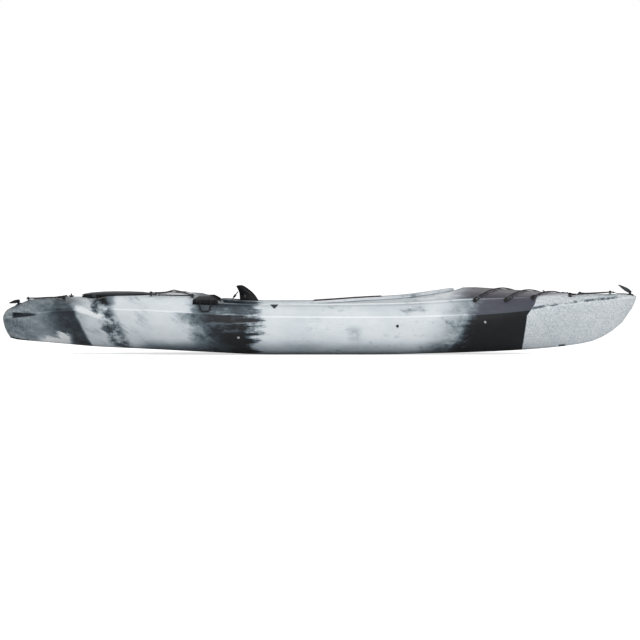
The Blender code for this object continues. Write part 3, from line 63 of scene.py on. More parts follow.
class Wire:
    # One socket of a shader tree, which can stand in a sum with numbers and other wires
    def __init__(self, tree, socket=None):
        self.tree = tree
        self.socket = socket

    def make(self, kind, settings=None, values=None, output=0):
        # A new node: settings are its own fields (stops are a colour ramp's), values go to its sockets
        node = self.tree.nodes.new("ShaderNode" + kind)
        for name, value in (settings or {}).items():
            if name == "stops":
                fillRamp(node.color_ramp, value)
            else:
                setattr(node, name, value)
        for name, value in (values or {}).items():
            if isinstance(value, Wire):
                self.tree.links.new(value.socket, node.inputs[name])
            else:
                node.inputs[name].default_value = value
        return Wire(self.tree, node.outputs[output])

    def calculate(self, operation, first, second=0.0):
        return self.make("Math", {"operation": operation}, {0: first, 1: second})

    def __add__(self, other):
        return self.calculate("ADD", self, other)

    def __radd__(self, other):
        return self.calculate("ADD", other, self)

    def __sub__(self, other):
        return self.calculate("SUBTRACT", self, other)

    def __rsub__(self, other):
        return self.calculate("SUBTRACT", other, self)

    def __mul__(self, other):
        return self.calculate("MULTIPLY", self, other)

    def __abs__(self):
        return self.calculate("ABSOLUTE", self)

    def atMost(self, other):
        return self.calculate("MINIMUM", self, other)

    def atLeast(self, other):
        return self.calculate("MAXIMUM", self, other)

    def sine(self):
        return self.calculate("SINE", self)

    def step(self, low, high):
        # 0 below low, 1 above high, smooth in between; it falls instead when low is the larger
        return self.make("MapRange", {"interpolation_type": "SMOOTHSTEP"},
                         {"Value": self, "From Min": low, "From Max": high, "To Min": 0.0, "To Max": 1.0})

    def span(self, outsideLow, insideLow, insideHigh, outsideHigh):
        # 1 between two places, fading to 0 outside them
        return self.step(outsideLow, insideLow) * self.step(outsideHigh, insideHigh)

    def near(self, reach, core):
        # 1 within core of zero, fading to 0 at reach
        return abs(self).step(reach, core)

    def toward(self, target, share):
        # This wire where share is 0, target where share is 1
        return self - share * (self - target)

    def parts(self):
        # The three coordinates of a place
        split = self.make("SeparateXYZ", {}, {0: self})
        return [Wire(self.tree, output) for output in split.socket.node.outputs]

    def noise(self, scale, detail=4.0, roughness=0.55, stretch=(1.0, 1.0, 1.0), shift=(0.0, 0.0, 0.0),
              tilt=0.0):
        # Noise centred on 0, about -0.5 to 0.5, on coordinates that are tilted about y and then stretched
        turned = self.make("Mapping", {}, {"Vector": self, "Rotation": (0.0, tilt, 0.0)})
        place = self.make("Mapping", {}, {"Vector": turned, "Scale": stretch, "Location": shift})
        return self.make("TexNoise", {}, {"Vector": place, "Scale": scale, "Detail": detail,
                                          "Roughness": roughness}) - 0.5

    def blend(self, first, second):
        # Colour mix by this wire as the factor
        return self.make("Mix", {"data_type": "RGBA"}, {0: self, 6: first, 7: second}, 2)

    def ramp(self, stops):
        return self.make("ValToRGB", {"stops": stops}, {"Fac": self})


def fillRamp(ramp, stops):
    while len(ramp.elements) > 1:
        ramp.elements.remove(ramp.elements[-1])
    for i, (place, color) in enumerate(stops):
        element = ramp.elements[0] if i == 0 else ramp.elements.new(place)
        element.position = place
        element.color = (*color, 1.0)


def startMaterial(name, fixed=None):
    # A Principled material; fixed holds values that are the same all over the surface
    material = bpy.data.materials.new(name)
    material.use_nodes = True
    shader = material.node_tree.nodes["Principled BSDF"]
    for socket, value in (fixed or {}).items():
        shader.inputs[socket].default_value = value
    place = Wire(material.node_tree).make("TexCoord", output="Object")
    return material, shader, place


def feed(shader, socket, wire):
    wire.tree.links.new(wire.socket, shader.inputs[socket])


def feedBump(shader, height, strength, distance):
    values = {"Height": height, "Strength": strength, "Distance": distance}
    feed(shader, "Normal", height.make("Bump", {}, values))


# Camera: a long lens on the starboard beam, a little above the deck
cameraLook = {"elevation": 1.2, "distance": 20.0, "frameWidth": 3.852, "aim": (0.0024, 0.0, 0.2025),
              "farthest": 80.0}


def makeCamera():
    data = bpy.data.cameras.new("beamCamera")
    data.lens = data.sensor_width * cameraLook["distance"] / cameraLook["frameWidth"]
    data.clip_end = cameraLook["farthest"]
    rise = math.radians(cameraLook["elevation"])
    aim = Vector(cameraLook["aim"])
    camera = bpy.data.objects.new("beamCamera", data)
    camera.location = aim + cameraLook["distance"] * Vector((0.0, -math.cos(rise), math.sin(rise)))
    camera.rotation_euler = (aim - camera.location).to_track_quat("-Z", "Y").to_euler()
    bpy.context.scene.collection.objects.link(camera)
    bpy.context.scene.camera = camera


makeCamera()
bpy.context.scene.view_settings.view_transform = "Standard"
print("camera set")


# Floor, sky and lamps: white to the camera, greyer in the light that they throw on the boat
studioLook = {"floorSize": 60.0, "floorColor": (0.80, 0.81, 0.82), "whiteColor": (0.90, 0.90, 0.90),
              "floorGlow": 0.66, "skyStrength": 0.50, "skyGloss": 0.20}
lampLook = {"keyLamp": {"power": 52.0, "size": (5.0, 2.0), "place": (-0.6, -2.6, 3.4)},
            "fillLamp": {"power": 88.0, "size": (5.0, 1.6), "place": (0.8, -5.0, 0.9)},
            "backLamp": {"power": 30.0, "size": (5.0, 1.6), "place": (0.0, 3.6, 2.6)}}


def makeWorld():
    # What the camera sees directly or through a piece is plain white, and gloss reflects a dimmer sky
    world = bpy.data.worlds.new("studioSky")
    world.use_nodes = True
    bpy.context.scene.world = world
    tree = world.node_tree
    tree.nodes.clear()
    start = Wire(tree)
    seen = start.make("LightPath", output="Is Camera Ray")
    glossy = Wire(tree, seen.socket.node.outputs["Is Glossy Ray"])
    through = Wire(tree, seen.socket.node.outputs["Is Transmission Ray"])
    strength = studioLook["skyStrength"] + glossy * (studioLook["skyGloss"] - studioLook["skyStrength"])
    strength = strength + seen.atLeast(through) * (1.0 - studioLook["skyStrength"])
    sky = start.make("Background", {}, {"Color": (1.0, 1.0, 1.0, 1.0), "Strength": strength})
    tree.links.new(sky.socket, tree.nodes.new("ShaderNodeOutputWorld").inputs["Surface"])


def makeFloor():
    # The camera sees a white floor that glows a little, so that only the contact shadow is darker than white
    mesh = bpy.data.meshes.new("studioFloor")
    corners = np.array([[-1, -1, 0], [1, -1, 0], [1, 1, 0], [-1, 1, 0]]) * studioLook["floorSize"]
    mesh.from_pydata(corners.tolist(), [], [(0, 1, 2, 3)])
    floor = bpy.data.objects.new("studioFloor", mesh)
    bpy.context.scene.collection.objects.link(floor)
    material = bpy.data.materials.new("whiteFloor")
    material.use_nodes = True
    tree = material.node_tree
    tree.nodes.clear()
    start = Wire(tree)
    seen = start.make("LightPath", output="Is Camera Ray")
    color = seen.blend((*studioLook["floorColor"], 1.0), (*studioLook["whiteColor"], 1.0))
    matte = start.make("BsdfDiffuse", {}, {"Color": color})
    strength = seen * studioLook["floorGlow"]
    glow = start.make("Emission", {}, {"Color": (1.0, 1.0, 1.0, 1.0), "Strength": strength})
    both = start.make("AddShader", {}, {0: matte, 1: glow})
    tree.links.new(both.socket, tree.nodes.new("ShaderNodeOutputMaterial").inputs["Surface"])
    mesh.materials.append(material)


def makeLamp(name, power, size, place, aim=(0.0, 0.0, 0.2)):
    data = bpy.data.lights.new(name, "AREA")
    data.shape = "RECTANGLE"
    data.size, data.size_y = size
    data.energy = power
    lamp = bpy.data.objects.new(name, data)
    lamp.location = place
    lamp.rotation_euler = (Vector(aim) - Vector(place)).to_track_quat("-Z", "Y").to_euler()
    bpy.context.scene.collection.objects.link(lamp)


makeWorld()
makeFloor()
for lampName, lampValues in lampLook.items():
    makeLamp(lampName, **lampValues)
print("studio lit")


# The shell's marbled plastic: tone runs from 0, near black, to 1, near white
shellLook = {
    "inks": [(0.0, (0.006, 0.006, 0.007)), (0.16, (0.026, 0.034, 0.044)), (0.36, (0.090, 0.118, 0.140)),
             (0.58, (0.245, 0.290, 0.320)), (0.80, (0.55, 0.60, 0.635)), (1.0, (0.82, 0.84, 0.85))],
    "deckInks": [(0.0, (0.022, 0.019, 0.027)), (0.45, (0.098, 0.090, 0.118)), (0.75, (0.39, 0.38, 0.44)),
                 (1.0, (0.80, 0.79, 0.83))],
    "roughness": 0.40,
    # (x, z) of the two creases along each side, which catch the light
    "sheer": [(-1.905, 0.215), (-1.80, 0.229), (-1.60, 0.260), (-1.33, 0.275), (-1.0, 0.267), (-0.87, 0.258),
              (-0.63, 0.245), (-0.3, 0.230), (0.1, 0.227), (0.48, 0.228), (0.73, 0.235), (0.97, 0.243),
              (1.14, 0.256), (1.27, 0.270), (1.36, 0.284), (1.48, 0.300), (1.63, 0.317), (1.906, 0.341)],
    "deckEdge": [(-1.905, 0.218), (-1.8, 0.266), (-1.7, 0.282), (-1.5, 0.303), (-1.4, 0.3115), (-1.28, 0.341),
                 (-1.2, 0.347), (-1.0, 0.348), (-0.85, 0.342), (-0.65, 0.317), (-0.55, 0.306), (-0.3, 0.302),
                 (0.1, 0.302), (0.47, 0.307), (0.66, 0.316), (0.81, 0.327), (0.95, 0.332), (1.27, 0.342),
                 (1.5, 0.348), (1.7, 0.353), (1.85, 0.355), (1.906, 0.343)],
}


# Noises over the hull. A stretch that is larger in z than in x squeezes a noise in height, so that it runs
# along the hull
noiseLook = {
    "cloud": {"scale": 2.6, "detail": 5.0, "roughness": 0.6, "stretch": (1.0, 1.0, 1.9)},
    "wisp": {"scale": 3.0, "detail": 6.0, "roughness": 0.66, "stretch": (1.0, 1.0, 9.0),
             "shift": (3.1, 0.0, 0.7)},
    "slide": {"scale": 4.5, "detail": 7.0, "roughness": 0.70, "stretch": (1.0, 1.0, 4.5),
              "shift": (0.0, 0.0, 2.2), "tilt": -0.55},
    "mottle": {"scale": 17.0, "detail": 7.0, "roughness": 0.72, "stretch": (1.0, 1.0, 1.3)},
    "speck": {"scale": 95.0, "detail": 3.0, "roughness": 0.7},
    "fine": {"scale": 240.0, "detail": 2.0, "roughness": 0.6},
    "rising": {"scale": 4.2, "detail": 4.0, "roughness": 0.6, "stretch": (1.0, 1.0, 6.0),
               "shift": (0.4, 0.0, 5.2), "tilt": 0.50},
}

# Where each field of colour lies along the hull, in metres. Two values are an edge, 0 at the first and 1 at
# the second, and four are a span: 0, 1, 1 and 0. A name with Height is an edge in z. A Lean is how far an
# edge shifts with each metre of height, aft in the after half and forward in the fore half, and the hard
# edge's bends are (height, further lean above it). shade is an x, and smudge, mark and streakLine are (x, z)
marble = {
    "wisps": (-0.2, 0.1), "veil": (-0.95, -1.10), "streaks": (-1.18, -1.08, -0.90, -0.80),
    # The first three fields on the next line place the painted shade low on the hull, darkest towards the
    # keel
    "bilgeShade": (-1.14, -0.98), "bilgeShadeDeep": (-0.45, -0.75), "bilgeShadeHeight": (0.105, 0.035),
    "stern": (-1.36, -1.50), "sternSpecks": (-1.66, -1.77),
    "keelWhite": (-1.72, -1.62, -1.51, -1.46), "keelWhiteHeight": (0.132, 0.098),
    "leanFrom": 0.17, "bandOneLean": 0.49, "bandTwoLean": 0.50, "seatLean": 0.45,
    "bandOneAft": (-1.66, -1.50), "bandOneFore": (-1.408, -1.432), "bandOneHeight": (0.322, 0.285),
    "darkDeck": (-1.62, -1.56, -1.51, -1.46), "darkDeckHeight": (0.285, 0.31),
    "bandTwo": -1.235, "bandTwoHalf": (0.080, 0.020),
    "crown": (-1.345, -1.31, -1.24, -1.20), "crownHeight": (0.285, 0.310),
    "streakLine": (-1.40, 0.262), "streakFall": 0.32, "streak": (-1.47, -1.44, -1.33, -1.22),
    "seatAft": (-0.86, -0.60), "seatAftAbove": (-0.80, -0.70), "seatFore": (-0.325, -0.43),
    "seatCore": (-0.60, -0.52),
    "faint": (-0.25, 0.0, 0.75, 0.88), "shade": 0.55, "smudge": (0.21, 0.125),
    "foreFrom": 0.21, "foreLean": 0.52, "mixing": (0.64, 0.86), "black": (0.835, 0.93),
    "scratch": (0.76, 0.84, 0.92, 0.98), "scratchHeight": (0.18, 0.12),
    "hardEdge": (1.214, 1.206), "hardEdgeLean": 0.11, "hardEdgeBends": ((0.235, 0.60), (0.30, -0.34)),
    "bow": (1.17, 1.19), "bowSmudges": (1.82, 1.76), "mark": (1.456, 0.045),
    "crease": (-0.75, -0.60, 1.20, 1.30), "deck": (0.70, 0.88), "deckEnd": (1.62, 1.30),
    "deckPaler": (0.90, 1.1),
}
grooveLook = {"foreEnd": (-1.680, -1.720), "afterEnd": (-1.850, -1.830), "middle": (-1.76, 0.236),
              "rise": 0.045, "half": 0.004, "halfAt": -1.70, "widen": 0.085, "tone": 0.05}
notchLook = {"middle": -0.268, "height": (0.276, 0.280, 0.301, 0.304), "widen": 0.95, "side": (0.340, 0.342),
             "tone": 0.22}


def marblingFields(place):
    # The noises, places and masks that the layers of colour share. sheer and edge are heights over the two
    # creases, kept on the mesh as attributes
    m = SimpleNamespace(**{name: place.noise(**look) for name, look in noiseLook.items()})
    m.x, m.y, m.z = place.parts()
    m.sheer = place.make("Attribute", {"attribute_name": "sheerHeight"}, output="Fac")
    m.edge = place.make("Attribute", {"attribute_name": "edgeHeight"}, output="Fac")
    m.above = m.sheer.step(-0.004, 0.004)
    m.keelWhite = (m.z + m.slide * 0.18 + m.mottle * 0.07).step(*marble["keelWhiteHeight"])
    m.keelWhite = m.keelWhite * m.x.span(*marble["keelWhite"])
    m.foreSlant = m.x - (m.z - marble["foreFrom"]) * marble["foreLean"]
    hardEdge = m.x - m.z * marble["hardEdgeLean"] + m.fine * 0.006
    for height, lean in marble["hardEdgeBends"]:
        hardEdge = hardEdge - (m.z - height).atLeast(0.0) * lean
    m.beforeEdge = hardEdge.step(*marble["hardEdge"])
    m.black = (m.foreSlant + m.wisp * 0.14 + m.mottle * 0.10).step(*marble["black"]) * m.beforeEdge
    return m


def paleTone(m):
    # Pale plastic, with grey veils between the bands of the after half, and painted shade that darkens it low
    # down towards the keel
    tone = 0.862 + m.cloud * 0.24 + m.mottle * 0.10 + m.wisp * 0.10 * m.x.step(*marble["wisps"])
    veil = (m.slide + m.mottle * 0.35).step(0.00, 0.20) * m.x.step(*marble["veil"])
    # Painted shade: darker towards the keel from x = -1.0 forward, deepest aft of x = -0.75
    bilgeShade = (m.z + m.cloud * 0.03).step(*marble["bilgeShadeHeight"]) * m.x.step(*marble["bilgeShade"])
    tone = tone - veil * 0.20 - bilgeShade * (0.22 + m.x.step(*marble["bilgeShadeDeep"]) * 0.24)
    streaks = m.wisp.step(0.02, 0.16) * m.above * m.x.span(*marble["streaks"])
    return tone - streaks * 0.14


def sternSlate(tone, m):
    # Slate with fine specks, mid grey further on, whiter along the keel
    slate = 0.56 + m.mottle * 0.50 + m.slide * 0.72 + m.speck * 0.60 * m.x.step(*marble["sternSpecks"])
    slate = (slate + m.cloud * 0.30).toward(1.05, m.keelWhite)
    return tone.toward(slate, (m.x + m.mottle * 0.10).step(*marble["stern"]))


def sternGroove(tone, m):
    # The groove's shadowed floor: a wedge that grows higher aft
    x, z = grooveLook["middle"]
    half = grooveLook["half"] - (m.x - grooveLook["halfAt"]) * grooveLook["widen"] + m.mottle * 0.010
    away = abs(m.z - z - (m.x - x) * grooveLook["rise"]) - half
    groove = away.step(0.005, -0.003) * m.x.step(*grooveLook["foreEnd"])
    groove = groove * (m.x + m.mottle * 0.02).step(*grooveLook["afterEnd"])
    return tone.toward(grooveLook["tone"], groove)


def slantBands(tone, m):
    # A slanting dark band with white wisps over its forward edge, and a second one in blotches
    low = m.z - marble["leanFrom"]
    slant = m.x + low * marble["bandOneLean"]
    first = (slant + m.slide * 0.16).step(*marble["bandOneAft"])
    first = first * (slant + m.mottle * 0.024).step(*marble["bandOneFore"])
    first = first * (m.z + m.mottle * 0.06).step(*marble["bandOneHeight"]) * (1.0 - m.keelWhite)
    tone = tone.toward(0.17 + m.mottle * 0.44 + m.slide * 0.34 + m.sheer.step(0.0, 0.02) * 0.16, first)
    darkDeck = (m.x + m.mottle * 0.06).span(*marble["darkDeck"]) * m.z.step(*marble["darkDeckHeight"])
    tone = tone - darkDeck * 0.22
    slant = m.x + low * marble["bandTwoLean"]
    second = (slant - marble["bandTwo"] + m.mottle * 0.07 + m.slide * 0.06).near(*marble["bandTwoHalf"])
    blotch = (m.mottle + m.cloud * 0.5 + m.slide * 0.5).step(-0.12, 0.06)
    crown = m.z.step(*marble["crownHeight"]) * (m.x + m.mottle * 0.05).span(*marble["crown"])
    tone = tone - second * blotch * 0.52 - second * 0.12 - crown * 0.36
    x, z = marble["streakLine"]
    streak = (m.z - z + (m.x - x) * marble["streakFall"] + m.slide * 0.05).near(0.026, 0.006)
    return tone + streak * m.x.span(*marble["streak"]) * 0.30


def seatBand(tone, m):
    # The great dark band beside the seat, drawn out in wisps forward and broken up aft
    lead = m.x + m.wisp * 0.44 + m.mottle * 0.12 + m.cloud * 0.10
    after = m.x + m.mottle * 0.22 + m.cloud * 0.22 + m.slide * 0.20
    after = after + (m.z - marble["leanFrom"]) * marble["seatLean"]
    band = after.step(*marble["seatAft"]) * (1.0 - m.above)
    band = band + m.above * (m.x + m.mottle * 0.16 + m.wisp * 0.10).step(*marble["seatAftAbove"])
    depth = 0.05 + (m.wisp + m.mottle * 0.6).step(0.02, 0.20) * 0.26
    depth = depth + m.above * (0.21 + m.mottle * 0.4 + m.wisp * 0.3)
    core = (m.x + m.mottle * 0.1).step(*marble["seatCore"]) * (1.0 - m.above)
    return tone.toward(depth - core * 0.04, band * lead.step(*marble["seatFore"]))


def paleMarks(tone, m):
    # Faint blotches and scratches on the pale middle
    faint = (m.mottle + m.wisp * 0.8).step(0.06, 0.24) * m.x.span(*marble["faint"])
    shade = (m.x - marble["shade"] + m.mottle * 0.1).near(0.13, 0.03) * m.above
    x, z = marble["smudge"]
    smudge = (m.x - x + m.mottle * 0.06).near(0.06, 0.01) * (m.z - z).near(0.07, 0.02)
    return (tone - faint * 0.16 - shade * (m.mottle + m.wisp).step(-0.10, 0.16) * 0.17
            - smudge * (m.mottle + m.cloud).step(-0.1, 0.15) * 0.15)


def sideNotch(tone, m):
    # The notch's shadowed floor: a triangle under the deck's edge
    half = (m.z - notchLook["height"][0]) * notchLook["widen"]
    notch = (abs(m.x - notchLook["middle"]) - half).step(0.004, -0.002)
    notch = notch * m.z.span(*notchLook["height"]) * abs(m.y).step(*notchLook["side"])
    return tone.toward(notchLook["tone"], notch)


def foreBands(tone, m):
    # Mottled fore part, and the black band with its hard forward edge, grey above the lower crease
    mixing = (m.foreSlant + m.wisp * 0.14).step(*marble["mixing"]) * m.beforeEdge
    tone = tone - mixing * (0.24 + m.mottle * 0.60 + m.speck * 0.16)
    grey = 0.38 + m.cloud * 0.24 + m.wisp * 0.24 - (m.x - 0.95) * 0.16
    grey = grey + (m.edge + 0.008).near(0.014, 0.0) * 0.12
    inside = 0.012 + m.mottle.atLeast(0.0) * 0.10 + m.sheer.step(-0.010, 0.012) * grey
    scratch = m.rising.near(0.012, 0.003) * m.foreSlant.span(*marble["scratch"])
    scratch = scratch * m.z.step(*marble["scratchHeight"]) * m.mottle.step(-0.12, 0.06)
    return tone.toward(inside, m.black) + scratch * (1.0 - m.above) * m.beforeEdge * 0.40


def speckledBow(tone, m):
    # Pale and speckled, with dark smudges along the creases and one dark mark low down
    bow = 0.855 + m.cloud * 0.14 + m.speck * 0.62 + m.fine * 0.40 + m.mottle * 0.16
    smudges = (m.sheer - 0.008 + m.mottle * 0.018).near(0.012, 0.003)
    smudges = smudges * (m.mottle + m.wisp * 0.5).step(-0.07, 0.06) * m.x.step(*marble["bowSmudges"])
    bow = bow - smudges * 0.50 - m.edge.near(0.010, 0.003) * (m.wisp + m.mottle).step(-0.04, 0.20) * 0.22
    tone = tone.toward(bow, (1.0 - m.beforeEdge) * m.x.step(*marble["bow"]))
    x, z = marble["mark"]
    mark = (m.x - x).near(0.024, 0.014) * (m.z - z + m.mottle * 0.02).step(0.016, 0.006)
    return tone.toward(0.06, mark)


def creaseLight(tone, m):
    # Both creases catch the light, the upper one between two thin shades
    crease = m.edge.near(0.0065, 0.001) * 0.26 - m.edge.near(0.020, 0.006) * 0.10
    return tone + m.sheer.near(0.0075, 0.001) * 0.13 + crease * m.x.span(*marble["crease"])


def foreDeck(tone, m):
    # Dark deck round the black band, paler fore and aft of it. Also gives where the deck's inks are used
    deck = m.edge.step(0.002, 0.014)
    deck = deck * (m.foreSlant + m.cloud * 0.1 + m.wisp * 0.16 + m.mottle * 0.12).step(*marble["deck"])
    after, fore = marble["deckPaler"]
    inside = 0.24 + (m.x - fore).atLeast(0.0) * 0.95 + (after - m.x).atLeast(0.0) * 0.9
    inside = inside + m.cloud * 0.40 + m.mottle * 0.30 + (m.wisp + m.mottle).step(0.10, 0.30) * 0.16
    tone = tone.toward(inside, deck * m.x.step(*marble["deckEnd"]))
    return tone, deck.atLeast(m.black * m.above * 0.7)


def shellTone(m):
    # Pale plastic, into which dark fields are poured one over another. Each is a smooth step in x, sheared by
    # height and pushed about by noise; the number beside a noise is how strongly it shows
    tone = paleTone(m)
    for layer in (sternSlate, sternGroove, slantBands, seatBand, paleMarks, sideNotch, foreBands, speckledBow,
                  creaseLight):
        tone = layer(tone, m)
    tone, deck = foreDeck(tone, m)
    return tone.atLeast(0.0).atMost(1.0), deck


def shellMaterial():
    material, shader, place = startMaterial("marbledPolyethylene", {"IOR": 1.51, "Specular IOR Level": 0.30})
    m = marblingFields(place)
    tone, deck = shellTone(m)
    feed(shader, "Base Color", deck.blend(tone.ramp(shellLook["inks"]), tone.ramp(shellLook["deckInks"])))
    feed(shader, "Roughness", shellLook["roughness"] + m.speck * 0.12 + place.noise(5.0, 4.0) * 0.12)
    scuff = place.noise(7.0, 5.0, 0.7, (1.0, 1.0, 12.0))
    feedBump(shader, m.fine * 0.5 + m.speck * 0.6 + scuff * 0.35, 0.12, 0.0012)
    return material


# Plastics, rubber, foam, metal and cord
plainLook = {
    "blackNylon": {"color": (0.009, 0.009, 0.011), "roughness": 0.56, "grain": 420.0},
    "greyNylon": {"color": (0.055, 0.060, 0.067), "roughness": 0.54, "grain": 380.0},
    "lidPlastic": {"color": (0.042, 0.045, 0.050), "roughness": 0.56, "grain": 300.0},
    "blackRubber": {"color": (0.016, 0.016, 0.017), "roughness": 0.62, "grain": 520.0},
    "blackFoam": {"color": (0.022, 0.023, 0.026), "roughness": 0.92, "grain": 700.0},
}
# Worn patches: noise scales, the noise values between which they fade in, and how much paler they are
wornLook = {"scale": 14.0, "fineScale": 60.0, "edge": (0.06, 0.34), "paler": 1.7, "lift": 0.006}


def plainMaterial(name):
    look = plainLook[name]
    material, shader, place = startMaterial(name, {"Specular IOR Level": 0.30})
    grain = place.noise(look["grain"], 3.0, 0.6)
    wear = place.noise(wornLook["scale"], 6.0, 0.7)
    scuff = (wear + place.noise(wornLook["fineScale"], 4.0, 0.7) * 0.5).step(*wornLook["edge"])
    base = look["color"]
    worn = tuple(min(c * wornLook["paler"] + wornLook["lift"], 1.0) for c in base)
    feed(shader, "Base Color", scuff.blend((*base, 1.0), (*worn, 1.0)))
    feed(shader, "Roughness", look["roughness"] + wear * 0.16 + grain * 0.10)
    feedBump(shader, grain + wear * 0.4, 0.30, 0.0006)
    return material


def metalMaterial(name, color, roughness, stretch):
    material, shader, place = startMaterial(name, {"Metallic": 1.0})
    brushed = place.noise(60.0, 5.0, 0.7, stretch)
    feed(shader, "Base Color", (brushed + 0.5).blend((*[c * 0.86 for c in color], 1.0), (*color, 1.0)))
    feed(shader, "Roughness", roughness + brushed * 0.22)
    feedBump(shader, brushed, 0.15, 0.0004)
    return material


def setMaterial(name, material):
    mesh = nodes[name].data
    mesh.materials.clear()
    mesh.materials.append(material)


materials = {name: plainMaterial(name) for name in plainLook}
materials["shell"] = shellMaterial()
materials["steel"] = metalMaterial("brushedSteel", (0.60, 0.60, 0.61), 0.30, (1.0, 1.0, 6.0))
materials["rail"] = metalMaterial("anodisedRail", (0.13, 0.135, 0.145), 0.42, (0.6, 6.0, 6.0))
slotMaterial = {"marbled_polyethylene": "shell", "black_nylon": "blackNylon", "grey_nylon": "greyNylon",
                "black_rubber": "blackRubber", "closed_cell_foam": "blackFoam", "elastic_cord": "blackRubber",
                "seat_fabric": "blackFoam", "stainless_steel": "steel", "anodised_aluminium": "rail"}
for row in frame["record"]["subparts"]:
    setMaterial(row["node"], materials[slotMaterial[row["material_slot"]]])
setMaterial("hatch_lid", materials["lidPlastic"])
for label in ("port", "starboard"):
    setMaterial("rail_bolt_" + label + "_aft", materials["blackNylon"])
    setMaterial("side_handle_bail_" + label, materials["blackNylon"])
print("materials made")

# Moulded pieces whose own facets are welded, so that light runs smoothly over them. The values are the
# angles, in degrees, from which an edge stays sharp
smoothLook = {"hull_shell": 30.0, "hatch_lid": 34.0, "hatch_rim": 34.0, "bow_handle": 42.0,
              "stern_handle": 42.0, "side_handle_base_port": 38.0, "side_handle_base_starboard": 38.0,
              "side_handle_bail_port": 50.0, "side_handle_bail_starboard": 50.0, "drain_plug": 40.0,
              "seat_pan": 34.0, "seat_back_shell": 34.0}
pieceAngle = 40.0
weldGap = 0.00002
sharpWeight = 60

nodeBody = {node: body for body, group in frame["record"]["behaviour"]["bodies"].items() for node in group}


def gather(items, field, width=3, kind=float):
    # One value of every vertex, edge or face of a mesh, as rows
    values = np.empty(len(items) * width, kind)
    items.foreach_get(field, values)
    return values.reshape(-1, width)


def meshPoints(mesh):
    return gather(mesh.vertices, "co")


def meshNormals(mesh):
    return gather(mesh.vertices, "normal")


def movePoints(mesh, points):
    mesh.vertices.foreach_set("co", points.ravel())


def weldedMesh(node, name):
    tool = bmesh.new()
    tool.from_mesh(nodes[node].data)
    bmesh.ops.remove_doubles(tool, verts=tool.verts, dist=weldGap)
    bmesh.ops.recalc_face_normals(tool, faces=tool.faces)
    mesh = bpy.data.meshes.new(name)
    tool.to_mesh(mesh)
    tool.free()
    return mesh


def smoothCopy(node, angle):
    mesh = weldedMesh(node, node + "_smooth")
    mesh.shade_smooth()
    mesh.set_sharp_from_angle(angle=math.radians(angle))
    mesh.materials.clear()
    mesh.materials.append(nodes[node].data.materials[0])
    piece = bpy.data.objects.new(node + "_smooth", mesh)
    bpy.context.scene.collection.objects.link(piece)
    weighted = piece.modifiers.new("evenLight", "WEIGHTED_NORMAL")
    weighted.keep_sharp = True
    weighted.weight = sharpWeight
    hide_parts(node)
    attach(piece, nodeBody[node])
    return piece


def markCreases(mesh):
    # Height over each crease, z minus the line's height at x
    points = meshPoints(mesh)
    for name, line in (("sheerHeight", shellLook["sheer"]), ("edgeHeight", shellLook["deckEdge"])):
        place, height = np.array(line).T
        layer = mesh.attributes.new(name, "FLOAT", "POINT")
        layer.data.foreach_set("value", points[:, 2] - np.interp(points[:, 0], place, height))


def topOf(node, x, y):
    # Height of a smoothed piece's upper side over (x, y)
    _, place, _, _ = smoothed[node].ray_cast(Vector((x, y, 1.0)), Vector((0.0, 0.0, -1.0)))
    return place.z


smoothed = {node: smoothCopy(node, angle) for node, angle in smoothLook.items()}
markCreases(smoothed["hull_shell"].data)
bpy.context.view_layer.update()
print("moulded pieces smoothed")


def meshPiece(name, points, faces, material, uv=None):
    mesh = bpy.data.meshes.new(name)
    mesh.from_pydata(points.tolist(), [], faces)
    if uv is not None:
        mesh.uv_layers.new(name="along").data.foreach_set("uv", uv.ravel())
    mesh.materials.append(material)
    mesh.shade_smooth()
    mesh.set_sharp_from_angle(angle=math.radians(pieceAngle))
    piece = bpy.data.objects.new(name, mesh)
    bpy.context.scene.collection.objects.link(piece)
    return piece


# How a tube's flat end is known: how many triangles share one circumcentre, and how near one it lies
endTriangles = 5
endReach = 0.0004


def cordRoute(name):
    # The centres of a tube's rings. A flat end is where several triangles share one circumcentre; from there
    # each ring is what touches the ring before it
    mesh = weldedMesh(name, "welded")
    points = meshPoints(mesh)
    edges = gather(mesh.edges, "vertices", 2, int)
    corners = gather(mesh.polygons, "vertices", 3, int)
    bpy.data.meshes.remove(mesh)
    a, b, c = (points[corners[:, i]] for i in range(3))
    up = np.cross(b - a, c - a)
    area = (up * up).sum(1, keepdims=True)
    first = ((c - a) ** 2).sum(1, keepdims=True)
    second = ((b - a) ** 2).sum(1, keepdims=True)
    middle = a + (first * np.cross(up, b - a) + second * np.cross(c - a, up)) / (2.0 * area)
    _, which, count = np.unique(np.round(middle, 4), axis=0, return_inverse=True, return_counts=True)
    flat = np.flatnonzero(count[which.ravel()] >= endTriangles)
    cap = corners[flat[np.linalg.norm(middle[flat] - middle[flat[0]], axis=1) < endReach]]
    ring = np.zeros(len(points), bool)
    ring[cap.ravel()] = True
    seen = ring.copy()
    route = []
    while ring.any():
        route.append(points[ring].mean(axis=0))
        touched = np.zeros(len(points), bool)
        touched[edges[ring[edges[:, 0]], 1]] = True
        touched[edges[ring[edges[:, 1]], 0]] = True
        ring = touched & ~seen
        seen |= ring
    return np.array(route)


def smoothRoute(route, spacing):
    # Cubic Hermite curve through the route, with its slopes taken by the route's own length
    chord = np.concatenate([[0.0], np.cumsum(np.linalg.norm(np.diff(route, axis=0), axis=1))])
    slope = np.gradient(route, chord, axis=0)
    along = np.linspace(0.0, chord[-1], int(chord[-1] / spacing) + 2)
    cell = np.clip(np.searchsorted(chord, along, side="right") - 1, 0, len(chord) - 2)
    run = (chord[cell + 1] - chord[cell])[:, None]
    t = (along - chord[cell])[:, None] / run
    return ((1 + 2 * t) * (1 - t) ** 2 * route[cell] + t * (1 - t) ** 2 * run * slope[cell]
            + t * t * (3 - 2 * t) * route[cell + 1] + t * t * (t - 1) * run * slope[cell + 1])


